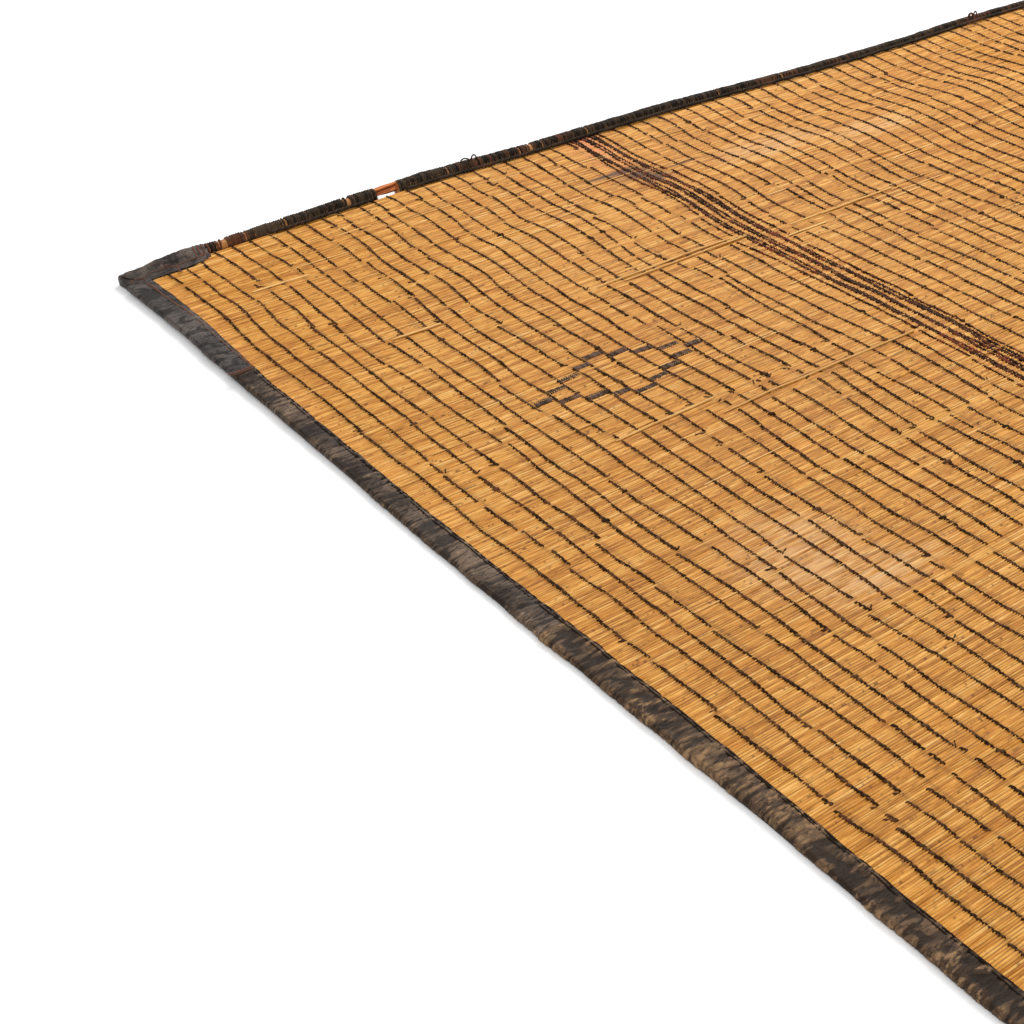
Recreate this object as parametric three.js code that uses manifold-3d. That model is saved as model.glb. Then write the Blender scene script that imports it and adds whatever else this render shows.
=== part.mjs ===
import * as THREE from "three";
import { mergeVertices } from "three/addons/utils/BufferGeometryUtils.js";
import Module from "manifold-3d";

// A floor mat of thin stalks laid side by side along X. Leather thongs twine them together in rows
// along Y. Its two ends are bound in folded leather, its two long sides carry a roll of stalks
// wrapped in thong, and each corner has a leather cap. It lies on the floor with a few low swells.
// Lengths are in millimetres. "along" is measured from the left end, "across" from the back side.
const matLength = 3000;
const matWidth = 2000;
const sheetThickness = 3.5;
const gap = 0.3;
const leather = 2;

// Rows of twining stand proud of the stalks. A zone is a run of rows at one pitch, and the rows of
// the right half mirror those of the left half.
const ribRise = 1.5;
const thinRibHalfWidth = 2.4;
const thickRibHalfWidth = 5.4;
const thickRibCrest = 2.8;
const thickRibValley = 0.7;
const firstRow = 40;
const leftZones = [
  { rows: 7, pitch: 26.5 },
  { rows: 9, pitch: 27.7 },
  { rows: 7, pitch: 28.2 },
];
const bandRows = [
  { along: 699, thick: false },
  { along: 712, thick: true },
  { along: 728.5, thick: true },
  { along: 745, thick: true },
  { along: 758, thick: false },
];
const middleZones = [
  { rows: 9, pitch: 28.4 },
  { rows: 6, pitch: 31.3 },
  { rows: 9, pitch: 31.5 },
];

// All rows lean together by this much as they cross the mat, and each also wanders a little.
const rowLean = [
  { across: 0, shift: 1 },
  { across: 95, shift: 6 },
  { across: 165, shift: 6 },
  { across: 250, shift: -1 },
  { across: 520, shift: 0 },
  { across: 1000, shift: 2 },
  { across: 2000, shift: -1 },
];
const rowWaves = [
  { rise: 1.6, turnPerRow: 2.4, length: 170 },
  { rise: 0.96, turnPerRow: 1.3, length: 71 },
];

// Stations across the mat where its surface may bend.
const acrossStations = [42, 95, 165, 250, 350, 520, 700, 950, 1450, 1905, 1958];

// Swells of the sheet, each a long low mound with a crest parallel to the stalks.
const swells = [
  { along: 300, across: 95, reachAlong: 620, reachAcross: 75, rise: 6 },
  { along: 420, across: 250, reachAlong: 700, reachAcross: 100, rise: 8 },
  { along: 1250, across: 250, reachAlong: 800, reachAcross: 120, rise: 9 },
  { along: 500, across: 700, reachAlong: 450, reachAcross: 180, rise: 5 },
  { along: 2150, across: 520, reachAlong: 600, reachAcross: 170, rise: 7 },
  { along: 1500, across: 1450, reachAlong: 950, reachAcross: 440, rise: 6 },
];

// The roll along the back side: how far its centre line bows out past the nominal side, and its
// radius. The front side carries the same roll turned half round.
const rollTable = [
  { along: 0, centre: -4, radius: 9.5 },
  { along: 130, centre: -4, radius: 9.5 },
  { along: 300, centre: -0.5, radius: 11 },
  { along: 460, centre: 2.5, radius: 12 },
  { along: 620, centre: -2.5, radius: 11 },
  { along: 900, centre: -2.5, radius: 10.5 },
  { along: 1060, centre: -11, radius: 10 },
  { along: 1180, centre: -17.5, radius: 9.5 },
  { along: 1300, centre: -19, radius: 9 },
  { along: 1420, centre: -19.5, radius: 8.5 },
  { along: 1560, centre: -14.5, radius: 8.5 },
  { along: 1750, centre: -18, radius: 8 },
  { along: 2200, centre: -12, radius: 9 },
  { along: 2600, centre: -6, radius: 9.5 },
  { along: 3000, centre: -3, radius: 9.5 },
];
const rollSides = 10;
const rollStationSpacing = 90;
const sheetBelowRollMiddle = 1.5;

// Stretches of the back roll. Between the first two wraps the stalk core lies bare, and the field
// beside it has lost a few stalks.
const backWraps = [
  { name: "wrap_back_1", from: 128.3, to: 384.7 },
  { name: "wrap_back_2", from: 425.3, to: 2871.7 },
];
const bareCore = { from: 385, to: 425, share: 0.62, outwards: 2.5, upwards: 2.5 };
const wornNotch = { from: 384, to: 407, depth: 8 };
const frontWrap = { from: 96.3, to: 2903.7 };

// A thinner wrapped cord lies in the corner between the roll and the field.
const cordRadius = 3.2;
const cordInset = 4;
const cordOverSheet = 0.5;
const cordSides = 6;
const backCords = [
  { name: "cord_back_1", from: 205, to: 375 },
  { name: "cord_back_2", from: 430, to: 2850 },
];
const frontCord = { from: 140, to: 2860 };

// The stalk ends, from the nominal end. Their bends lie on stations across the mat.
const stalkEnds = [
  { across: 0, end: -11 },
  { across: 165, end: -8.5 },
  { across: 350, end: -12 },
  { across: 700, end: -13.5 },
  { across: 1450, end: -13 },
  { across: 2000, end: -13 },
];

// The folded leather over them: how far its fold and its inner lip stand from the stalk ends.
const bindingTable = [
  { across: 0, fold: 3, lip: 32 },
  { across: 150, fold: 2.2, lip: 32 },
  { across: 260, fold: 4.5, lip: 27 },
  { across: 345, fold: 2.2, lip: 25 },
  { across: 520, fold: 2.4, lip: 25 },
  { across: 640, fold: 4, lip: 25 },
  { across: 880, fold: 5, lip: 28 },
  { across: 1050, fold: 3, lip: 30 },
  { across: 1200, fold: 2.2, lip: 27 },
  { across: 1350, fold: 4.6, lip: 25 },
  { across: 1600, fold: 2.6, lip: 28 },
  { across: 1800, fold: 4.4, lip: 27 },
  { across: 2000, fold: 2.6, lip: 27 },
];
const endStrips = [
  { name: "1", from: 37, to: 304.7 },
  { name: "2", from: 305, to: 879.7 },
  { name: "3", from: 880, to: 1964.7 },
];
const stripStep = 85;
const stripPucker = { rise: 0.5, length: 23 };

// The strip's section: how far its bends stand from its lip and from its outer fold, and how much
// of the leather's thickness is left where it rounds off.
const stripSection = {
  lowerLipShort: 4,
  lipBevel: 0.5,
  lipRoundness: 0.7,
  crownFromLip: 9,
  crownFromFold: 8,
  shoulderFromFold: 2,
  heelFromFold: 2.5,
  soleFromFold: 7,
  foldRoundness: 0.6,
};

// How high the underside of the left end lies: lifted near the back corner, then down on its leather.
const endLift = [
  { across: 0, lift: 6 },
  { across: 250, lift: 6.3 },
  { across: 700, lift: 2.3 },
  { across: 2000, lift: 2.3 },
];
const edgePlateau = 30;
const endLiftReach = 260;
const sideLiftReach = 105;

// Corner caps: stations from the end's outer fold towards the middle. "back" is the cap's outline
// past the nominal side, "front" its lip on the field, "hump" the height of its back over the floor.
const capSlotDepth = 14;
const lipRoom = 1.5;
const liftedCap = [
  { along: -17, back: -5, front: -30, hump: 13 },
  { along: -12, back: -3, front: -34, hump: 13.3 },
  { along: 2, back: -1, front: -36, hump: 13.6 },
  { along: 26, back: 1, front: -36, hump: 14.6 },
  { along: 45, back: 3, front: -35, hump: 18 },
  { along: 65, back: 4.5, front: -35, hump: 20 },
  { along: 85, back: 5, front: -34, hump: 19.5 },
  { along: 105, back: 5, front: -30, hump: 19.3 },
  { along: 128, back: 5, front: -22, hump: 19 },
];
const flatCap = [
  { along: -19, back: -5, front: -28, hump: 9.8 },
  { along: -14, back: -4, front: -33, hump: 10.2 },
  { along: 2, back: -1, front: -35, hump: 12 },
  { along: 30, back: 1.5, front: -34.7, hump: 16 },
  { along: 62, back: 2.5, front: -30, hump: 19 },
  { along: 96, back: 2.5, front: -22, hump: 19 },
];

// The cap's section: where its outline bends, from its lips, its slot and its back.
const capSection = {
  lowerLipShort: 2,
  lipBevel: 0.5,
  lipRoundness: 0.7,
  riseFromSlot: 1,
  shoulderFromSlot: 3,
  shoulderFromBack: 16,
  shoulderBelowHump: 3,
  browFromBack: 2.5,
  browShare: 0.82,
  waistShare: 0.5,
  backRaise: 1,
  heelFromBack: 3,
  heelHeight: 1.5,
  soleHeight: 0.4,
};
const liftedCapEnd = 128;
const flatCapEnd = 96;

// The stepped lozenge of thong-wrapped bars: one bar in each gap between rows, stepping up to the
// middle gap and down again, with both halves meeting in one bar at each tip.
const lozenge = { along: 325, across: 555, steps: 4, stepAcross: 12.1 };
const lozengeBarShape = { width: 7, rise: 1.6, sunk: 1, flank: 0.4, crownShare: 0.4, fromRow: 1 };
const lozengeCorners = [
  { onRight: false, onFront: false },
  { onRight: true, onFront: false },
  { onRight: false, onFront: true },
  { onRight: true, onFront: true },
];

const colours = {
  straw: new THREE.MeshStandardMaterial({ color: 0xc48a3c, roughness: 0.75, metalness: 0 }),
  blueBlack: new THREE.MeshStandardMaterial({ color: 0x34363d, roughness: 0.55, metalness: 0 }),
  greyBrown: new THREE.MeshStandardMaterial({ color: 0x3c3531, roughness: 0.6, metalness: 0 }),
  mottled: new THREE.MeshStandardMaterial({ color: 0x433528, roughness: 0.65, metalness: 0 }),
  thong: new THREE.MeshStandardMaterial({ color: 0x2a2019, roughness: 0.6, metalness: 0 }),
  bareStalks: new THREE.MeshStandardMaterial({ color: 0xa8552b, roughness: 0.8, metalness: 0 }),
};

// Straight-line value of a table's column, with the ends held.
function tableAt(table, key, at, column) {
  if (at <= table[0][key]) return table[0][column];
  for (let i = 1; i < table.length; i += 1) {
    const a = table[i - 1];
    const b = table[i];
    if (at <= b[key]) {
      const share = (at - a[key]) / (b[key] - a[key]);
      return a[column] + share * (b[column] - a[column]);
    }
  }
  return table[table.length - 1][column];
}

// 1 within the plateau beside an edge, easing to 0 at the reach.
function edgeShare(distance, reach) {
  const t = THREE.MathUtils.clamp((distance - edgePlateau) / (reach - edgePlateau), 0, 1);
  return 1 - t * t * (3 - 2 * t);
}

function mound(offset, reach) {
  return Math.abs(offset) >= reach ? 0 : 0.5 + 0.5 * Math.cos((Math.PI * offset) / reach);
}

function sideLift(along) {
  return tableAt(rollTable, "along", along, "radius") - sheetThickness / 2 - sheetBelowRollMiddle;
}

// Height of the sheet's underside over the floor.
function underside(along, across) {
  const left = edgeShare(along, endLiftReach);
  const right = edgeShare(matLength - along, endLiftReach);
  const back = edgeShare(across, sideLiftReach);
  const front = edgeShare(matWidth - across, sideLiftReach);
  const ends = tableAt(endLift, "across", across, "lift") * (left + right);
  const sides = sideLift(along) * back + sideLift(matLength - along) * front;
  const inside = (1 - left) * (1 - right);
  let mounds = 0;
  for (const s of swells) {
    mounds += s.rise * mound(along - s.along, s.reachAlong) * mound(across - s.across, s.reachAcross);
  }
  return ends + inside * (sides + mounds * (1 - back) * (1 - front));
}

function place(along, across, z) {
  return [along - matLength / 2, matWidth / 2 - across, z];
}

// A body from points and triangles, turned outwards if its volume comes out negative.
function body(points, triangles) {
  let volume = 0;
  const a = new THREE.Vector3();
  const b = new THREE.Vector3();
  const c = new THREE.Vector3();
  for (const [i, j, k] of triangles) {
    volume += a.fromArray(points[i]).dot(b.fromArray(points[j]).cross(c.fromArray(points[k])));
  }
  const faces = volume < 0 ? triangles.map(([i, j, k]) => [i, k, j]) : triangles;
  const geometry = new THREE.BufferGeometry();
  geometry.setAttribute("position", new THREE.Float32BufferAttribute(points.flat(), 3));
  geometry.setIndex(faces.flat());
  return geometry;
}

// Rings of equal length joined into a closed body. Each ring is a list of [across, z] or
// [along, z] pairs, which also gives the end faces.
function loft(rings, toPoint) {
  const count = rings[0].length;
  const points = rings.flatMap((ring, r) => ring.map((pair) => toPoint(r, pair)));
  const triangles = [];
  for (let r = 0; r + 1 < rings.length; r += 1) {
    for (let i = 0; i < count; i += 1) {
      const a = r * count + i;
      const b = r * count + ((i + 1) % count);
      triangles.push([a, b, b + count], [a, b + count, a + count]);
    }
  }
  for (const r of [0, rings.length - 1]) {
    const contour = rings[r].map(([p, q]) => new THREE.Vector2(p, q));
    const turned = (r === 0) === THREE.ShapeUtils.area(contour) > 0;
    for (const [i, j, k] of THREE.ShapeUtils.triangulateShape(contour, [])) {
      const face = [r * count + i, r * count + j, r * count + k];
      triangles.push(turned ? [face[0], face[2], face[1]] : face);
    }
  }
  return body(points, triangles);
}

function stationsBetween(from, to, breaks) {
  return [from, ...breaks.filter((s) => s > from + 1 && s < to - 1), to];
}

// Rows of twining from the left end to the right end.
function allRows() {
  const half = [];
  let along = firstRow;
  const addZones = (zones) => {
    for (const zone of zones) {
      for (let i = 0; i < zone.rows; i += 1) {
        along += zone.pitch;
        half.push({ along, thick: false });
      }
    }
  };
  half.push({ along, thick: false });
  addZones(leftZones);
  half.push(...bandRows);
  along = bandRows[bandRows.length - 1].along;
  addZones(middleZones);
  const mirrored = half.map((row) => ({ ...row, along: matLength - row.along })).reverse();
  return [...half, ...mirrored];
}

const rows = allRows();

function wander(index, across) {
  let shift = tableAt(rowLean, "across", across, "shift");
  for (const wave of rowWaves) {
    shift += wave.rise * Math.sin(index * wave.turnPerRow + across / wave.length);
  }
  return shift;
}

// Columns of the sheet's top: ends, the worn notch, and the feet and crests of each row.
function topColumns() {
  const columns = [];
  rows.forEach((row, index) => {
    const half = row.thick ? thickRibHalfWidth : thinRibHalfWidth;
    const inBand = bandRows.some((r) => [r.along, matLength - r.along].includes(row.along));
    const follows = inBand ? Math.round(row.along / matLength) : index;
    const add = (offset, rise) => columns.push({ along: row.along + offset, rise, follows });
    add(-half, 0);
    if (row.thick) {
      add(-thickRibCrest, ribRise);
      add(0, thickRibValley);
      add(thickRibCrest, ribRise);
    } else {
      add(0, ribRise);
    }
    add(half, 0);
  });
  return columns;
}

// A side's outline, as a distance inwards from the nominal side. Past the caps it follows the roll.
function sideOutline(along, capEnd) {
  if (along <= capEnd || along >= matLength - capEnd) return capSlotDepth;
  const centre = tableAt(rollTable, "along", along, "centre");
  const radius = tableAt(rollTable, "along", along, "radius");
  return radius + gap - centre;
}

function backOutline(along) {
  const worn = along > wornNotch.from && along < wornNotch.to ? wornNotch.depth : 0;
  return sideOutline(along, liftedCapEnd) + worn;
}

// The front roll is the back roll turned half round.
function frontOutline(along) {
  return matWidth - sideOutline(matLength - along, flatCapEnd);
}

function stalkEnd(across) {
  return tableAt(stalkEnds, "across", across, "end");
}

// Places along the mat where its outline steps, at the caps and at the worn notch.
function outlineSteps() {
  const nearLeft = [liftedCapEnd, liftedCapEnd + 3, flatCapEnd, flatCapEnd + 3];
  const capSteps = nearLeft.flatMap((s) => [s, matLength - s]);
  const worn = [wornNotch.from - 1, wornNotch.from + 1, wornNotch.to - 1, wornNotch.to + 1];
  return capSteps.concat(worn);
}

// Columns of the sheet's underside: the outline's steps, and the bends of the rolls beside it.
function underColumns() {
  const bends = rollTable.flatMap((s) => [s.along, matLength - s.along]);
  const inside = bends.filter((s) => s > edgePlateau && s < matLength - edgePlateau);
  const places = [...new Set([...outlineSteps(), edgePlateau, matLength - edgePlateau, ...inside])];
  return places.sort((a, b) => a - b).map((along) => ({ along }));
}

function fieldSheet() {
  const steps = outlineSteps().map((along) => ({ along }));
  const top = [...topColumns(), ...steps].sort((a, b) => a.along - b.along);
  const points = [];
  const triangles = [];

  // Adds one face of the sheet, and returns its grid of point numbers, station by station.
  function addFace(columns, lift) {
    const line = [{ end: "left" }, ...columns, { end: "right" }];
    const stations = ["back", ...acrossStations, "front"];
    return stations.map((station) =>
      line.map((column) => {
        const nominal = column.end === "left" ? 0 : column.end === "right" ? matLength : column.along;
        const onBack = station === "back";
        const onEdge = onBack || station === "front";
        const across = onBack ? backOutline(nominal) : onEdge ? frontOutline(nominal) : station;
        let along = nominal;
        if (column.end === "left") along = stalkEnd(across);
        if (column.end === "right") along = matLength - stalkEnd(across);
        if (column.follows !== undefined && !onEdge) along += wander(column.follows, across);
        const rise = onEdge ? 0 : (column.rise ?? 0);
        points.push(place(along, across, underside(along, across) + lift + rise));
        return points.length - 1;
      }),
    );
  }

  function fill(grid, turned) {
    for (let s = 0; s + 1 < grid.length; s += 1) {
      for (let i = 0; i + 1 < grid[s].length; i += 1) {
        const [a, b, c, d] = [grid[s][i], grid[s][i + 1], grid[s + 1][i + 1], grid[s + 1][i]];
        triangles.push(turned ? [a, b, c] : [a, c, b], turned ? [a, c, d] : [a, d, c]);
      }
    }
  }

  // Joins two lines of points that run the same way but have different numbers of points.
  function zip(upper, lower, turned) {
    let i = 0;
    let j = 0;
    while (i + 1 < upper.length || j + 1 < lower.length) {
      const nextUpper = i + 1 < upper.length ? points[upper[i + 1]][0] : Infinity;
      const nextLower = j + 1 < lower.length ? points[lower[j + 1]][0] : Infinity;
      const face =
        nextUpper <= nextLower ? [upper[i], upper[i + 1], lower[j]] : [upper[i], lower[j + 1], lower[j]];
      if (nextUpper <= nextLower) i += 1;
      else j += 1;
      triangles.push(turned ? [face[0], face[2], face[1]] : face);
    }
  }

  const upper = addFace(top, sheetThickness);
  const lower = addFace(underColumns(), 0);
  fill(upper, false);
  fill(lower, true);
  zip(upper[0], lower[0], false);
  zip(upper[upper.length - 1], lower[lower.length - 1], true);
  for (const side of ["first", "last"]) {
    for (let s = 0; s + 1 < upper.length; s += 1) {
      const pick = (line) => (side === "first" ? line[0] : line[line.length - 1]);
      const [a, b, c, d] = [pick(upper[s]), pick(upper[s + 1]), pick(lower[s + 1]), pick(lower[s])];
      const outwards = side === "first";
      triangles.push(outwards ? [a, c, b] : [a, b, c], outwards ? [a, d, c] : [a, c, d]);
    }
  }
  return body(points, triangles);
}

// One bar of the lozenge, a low ridge sunk a little into the sheet, lying in the gap after a row.
function lozengeBar(from, to, across) {
  const { rise, sunk, flank } = lozengeBarShape;
  const half = lozengeBarShape.width / 2;
  const crown = half * lozengeBarShape.crownShare;
  const profile = [
    [-half, -sunk],
    [half, -sunk],
    [half, flank],
    [crown, rise],
    [-crown, rise],
    [-half, flank],
  ];
  const ends = [from, to];
  return loft([profile, profile], (r, [offset, z]) => {
    const [x, y] = place(ends[r], across + offset, 0);
    return [x, y, underside(ends[r], across) + sheetThickness + z];
  });
}

function lozengeBars() {
  const bars = [];
  const middleGap = rows.findIndex((row) => row.along > lozenge.along);
  const inset = thinRibHalfWidth + lozengeBarShape.fromRow;
  for (let step = -lozenge.steps; step <= lozenge.steps; step += 1) {
    const left = rows[middleGap + step].along + inset;
    const right = rows[middleGap + step + 1].along - inset;
    const rise = (lozenge.steps - Math.abs(step)) * lozenge.stepAcross;
    const offsets = rise === 0 ? [0] : [-rise, rise];
    for (const offset of offsets) {
      bars.push({ left, right, across: lozenge.across + offset });
    }
  }
  return lozengeCorners.flatMap(({ onRight, onFront }) =>
    bars.map((bar) => {
      const left = onRight ? matLength - bar.right : bar.left;
      const right = onRight ? matLength - bar.left : bar.right;
      return lozengeBar(left, right, onFront ? matWidth - bar.across : bar.across);
    }),
  );
}

const wasm = await Module();
wasm.setup();

const mergeDistance = 1e-4;

function toSolid(geometry) {
  const shared = geometry.clone();
  shared.deleteAttribute("normal");
  shared.deleteAttribute("uv");
  const merged = mergeVertices(shared, mergeDistance);
  const vertProperties = Float32Array.from(merged.attributes.position.array);
  const triVerts = Uint32Array.from(merged.index.array);
  return new wasm.Manifold(new wasm.Mesh({ numProp: 3, vertProperties, triVerts }));
}

function fromSolid(solid) {
  const mesh = solid.getMesh();
  const geometry = new THREE.BufferGeometry();
  geometry.setAttribute("position", new THREE.BufferAttribute(mesh.vertProperties, 3));
  geometry.setIndex(new THREE.BufferAttribute(mesh.triVerts, 1));
  return geometry;
}

function fieldWithLozenges() {
  let solid = toSolid(fieldSheet());
  for (const bar of lozengeBars()) {
    solid = solid.add(toSolid(bar));
  }
  return fromSolid(solid);
}

// Stations of the rolls: the bends of their table, with the long stretches divided.
function rollStations() {
  const places = [];
  for (let i = 1; i < rollTable.length; i += 1) {
    const a = rollTable[i - 1].along;
    const b = rollTable[i].along;
    const parts = Math.max(1, Math.round((b - a) / rollStationSpacing));
    for (let p = 1; p <= parts; p += 1) places.push(a + ((b - a) * p) / parts);
  }
  return places;
}

// A round bar along the back side. The section's centre and radius come from the station.
function barAlong(from, to, sides, sectionAt) {
  const stations = stationsBetween(from, to, rollStations());
  const rings = stations.map((along) => {
    const { out, z, radius } = sectionAt(along);
    const reach = radius / Math.cos(Math.PI / sides);
    return Array.from({ length: sides }, (unused, i) => {
      const angle = (2 * Math.PI * (i + 0.5)) / sides;
      return [-(out + radius * Math.cos(angle)), Math.max(z + reach * Math.sin(angle), z - radius)];
    });
  });
  return loft(rings, (r, [across, z]) => place(stations[r], across, z));
}

function rollSection(along) {
  const radius = tableAt(rollTable, "along", along, "radius");
  return { out: tableAt(rollTable, "along", along, "centre"), z: radius, radius };
}

function coreSection(along) {
  const { out, z, radius } = rollSection(along);
  return { out: out + bareCore.outwards, z: z + bareCore.upwards, radius: radius * bareCore.share };
}

function cordSection(along) {
  const roll = rollSection(along);
  const z = sideLift(along) + sheetThickness + cordOverSheet + cordRadius;
  return { out: roll.out - roll.radius - cordInset, z, radius: cordRadius };
}

// Folded leather round the stalk ends: a channel section with its mouth towards the mat's middle.
function bindingStrip(from, to) {
  const breaks = bindingTable.concat(stalkEnds, endLift).map((s) => s.across);
  for (let s = stripStep; s < matWidth; s += stripStep) breaks.push(s);
  const stations = stationsBetween(from, to, [...new Set(breaks)].sort((a, b) => a - b));
  const rings = stations.map((across) => {
    const end = stalkEnd(across) - gap;
    const outer = end - tableAt(bindingTable, "across", across, "fold");
    const lip = end + tableAt(bindingTable, "across", across, "lip");
    const low = tableAt(endLift, "across", across, "lift");
    const top = low + sheetThickness;
    const pucker = stripPucker.rise * (1 + Math.sin(across / stripPucker.length));
    const crown = top + gap + leather + pucker;
    const sole = low - gap - leather;
    return [
      [lip - stripSection.lowerLipShort, low - gap],
      [end, low - gap],
      [end, top + gap],
      [lip, top + gap],
      [lip - stripSection.lipBevel, top + gap + leather * stripSection.lipRoundness],
      [lip - stripSection.crownFromLip, crown],
      [outer + stripSection.crownFromFold, crown],
      [outer + stripSection.shoulderFromFold, top + gap + leather * stripSection.foldRoundness],
      [outer, (low + top) / 2],
      [outer + stripSection.heelFromFold, low - gap - leather * stripSection.foldRoundness],
      [outer + stripSection.soleFromFold, sole],
      [lip - stripSection.lowerLipShort, sole],
    ];
  });
  return loft(rings, (r, [along, z]) => place(along, stations[r], z));
}

// A leather cap folded over a corner: a hump over the end of the roll, and two lips that hold the
// sheet's back outline in a slot.
function cornerCap(table, capAcross) {
  const rings = table.map((s) => {
    const low = underside(Math.max(s.along, 0), capAcross);
    const top = low + sheetThickness;
    const sole = low - gap - leather;
    const crown = top + lipRoom + leather;
    const slot = capSlotDepth - gap;
    const back = -s.back;
    const front = -s.front;
    const shoulder = Math.min(slot - capSection.shoulderFromSlot, back + capSection.shoulderFromBack);
    return [
      [front - capSection.lowerLipShort, low - gap],
      [slot, low - gap],
      [slot, top + gap],
      [front, top + lipRoom],
      [front - capSection.lipBevel, top + lipRoom + leather * capSection.lipRoundness],
      [slot + capSection.riseFromSlot, crown],
      [shoulder, Math.max(s.hump - capSection.shoulderBelowHump, crown)],
      [(shoulder + back) / 2, Math.max(s.hump, crown)],
      [back + capSection.browFromBack, s.hump * capSection.browShare + capSection.backRaise],
      [back, s.hump * capSection.waistShare + capSection.backRaise],
      [back + capSection.heelFromBack, Math.min(sole, capSection.heelHeight)],
      [shoulder, Math.min(sole, capSection.soleHeight)],
      [front - capSection.lowerLipShort, sole],
    ];
  });
  return loft(rings, (r, [across, z]) => place(table[r].along, across, z));
}

// The same body on the other side of the mat's middle, seen in a mirror across X or Y.
function mirrored(geometry, scaleX, scaleY) {
  const copy = geometry.clone().scale(scaleX, scaleY, 1);
  const turned = [];
  for (let i = 0; i < copy.index.count; i += 3) {
    turned.push(copy.index.getX(i), copy.index.getX(i + 2), copy.index.getX(i + 1));
  }
  return scaleX * scaleY < 0 ? copy.setIndex(turned) : copy;
}

const mat = new THREE.Group();

function add(name, geometry, material) {
  const mesh = new THREE.Mesh(geometry, material);
  mesh.name = name;
  mat.add(mesh);
  return mesh;
}

add("field", fieldWithLozenges(), colours.straw);

const stripColours = [colours.blueBlack, colours.greyBrown, colours.mottled];
endStrips.forEach((strip, i) => {
  const geometry = bindingStrip(strip.from, strip.to);
  add(`binding_left_${strip.name}`, geometry, stripColours[i]);
  add(`binding_right_${strip.name}`, mirrored(geometry, -1, 1), stripColours[i]);
});

for (const wrap of backWraps) {
  add(wrap.name, barAlong(wrap.from, wrap.to, rollSides, rollSection), colours.thong);
}
add("core_back", barAlong(bareCore.from, bareCore.to, rollSides, coreSection), colours.bareStalks);
for (const cord of backCords) {
  add(cord.name, barAlong(cord.from, cord.to, cordSides, cordSection), colours.thong);
}
const wrapFront = barAlong(frontWrap.from, frontWrap.to, rollSides, rollSection);
const cordFront = barAlong(frontCord.from, frontCord.to, cordSides, cordSection);
add("wrap_front", wrapFront, colours.thong).rotation.z = Math.PI;
add("cord_front", cordFront, colours.thong).rotation.z = Math.PI;

const backCap = cornerCap(liftedCap, capSlotDepth);
const frontCap = mirrored(cornerCap(flatCap, matWidth - capSlotDepth), 1, -1);
add("cap_left_back", backCap, colours.blueBlack);
add("cap_right_back", mirrored(backCap, -1, 1), colours.blueBlack);
add("cap_left_front", frontCap, colours.blueBlack);
add("cap_right_front", mirrored(frontCap, -1, 1), colours.blueBlack);

export default mat;
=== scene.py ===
import math

import bpy
import numpy as np
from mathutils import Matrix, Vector
from mathutils.bvhtree import BVHTree


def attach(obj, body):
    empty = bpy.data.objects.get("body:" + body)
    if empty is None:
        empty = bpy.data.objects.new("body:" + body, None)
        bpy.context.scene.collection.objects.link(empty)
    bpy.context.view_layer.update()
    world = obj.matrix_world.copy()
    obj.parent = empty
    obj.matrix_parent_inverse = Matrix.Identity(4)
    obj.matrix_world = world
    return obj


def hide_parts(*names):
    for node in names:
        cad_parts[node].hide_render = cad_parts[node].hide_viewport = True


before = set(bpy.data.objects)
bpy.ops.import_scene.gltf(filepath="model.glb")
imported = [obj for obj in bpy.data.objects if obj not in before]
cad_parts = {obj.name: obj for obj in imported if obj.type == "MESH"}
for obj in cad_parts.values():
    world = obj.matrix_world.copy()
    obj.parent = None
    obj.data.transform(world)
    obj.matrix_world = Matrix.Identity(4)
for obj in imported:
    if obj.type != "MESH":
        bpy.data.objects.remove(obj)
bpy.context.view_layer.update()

# Lengths are in metres. "along" runs from the mat's left end, "across" from its back side.
mat = {
    "length": 3.0,
    "width": 2.0,
    "thickness": 0.0035,
    "leather": 0.002,
    "stalkWidth": 0.0027,
    "seed": 41,
}

# Swells of the sheet: a long low mound each.
swells = {
    "along": [0.300, 0.420, 1.250, 0.500, 2.150, 1.500],
    "across": [0.095, 0.250, 0.250, 0.700, 0.520, 1.450],
    "reachAlong": [0.620, 0.700, 0.800, 0.450, 0.600, 0.950],
    "reachAcross": [0.075, 0.100, 0.120, 0.180, 0.170, 0.440],
    "rise": [0.006, 0.008, 0.009, 0.005, 0.007, 0.006],
}

# The roll along the back side; the front one is turned half round.
roll = {
    "along": [0, 0.13, 0.3, 0.46, 0.62, 0.9, 1.06, 1.18, 1.3, 1.42, 1.56, 1.75, 2.2, 2.6, 3.0],
    "centre": [-4, -4, -0.5, 2.5, -2.5, -2.5, -11, -17.5, -19, -19.5, -14.5, -18, -12, -6, -3],
    "radius": [9.5, 9.5, 11, 12, 11, 10.5, 10, 9.5, 9, 8.5, 8.5, 8, 9, 9.5, 9.5],
}
sheetBelowRollMiddle = 0.0015

endLift = {"across": [0, 0.25, 0.7, 2.0], "lift": [6, 6.3, 2.3, 2.3]}
stalkEnds = {
    "across": [0, 0.034, 0.165, 0.35, 0.7, 1.45, 1.966, 2.0],
    "end": [-5, -10.4, -8.5, -12, -13.5, -13, -13, -8],
}
edgePlateau = 0.030
endReach = 0.260
sideReach = 0.105

# Rows of twine, and how they lean and wander as they cross the mat.
rowPlan = {
    "first": 0.040,
    "leftZones": [(7, 0.0265), (9, 0.0277), (7, 0.0282)],  # rows, pitch
    "band": [0.699, 0.712, 0.7285, 0.745, 0.758],
    "thickInBand": [1, 2, 3],
    "middleZones": [(9, 0.0284), (6, 0.0313), (9, 0.0315)],
    "wander": 0.0016,
}
rowLean = {
    "across": [0, 0.095, 0.165, 0.25, 0.52, 1.0, 2.0],
    "shift": [1, 6, 6, -1, 0, 2, -1],
}


def millimetres(table, key, at, column):
    return np.interp(at, table[key], table[column]) * 0.001


def clock(text):
    print(f"stage: {text}", flush=True)


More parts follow.
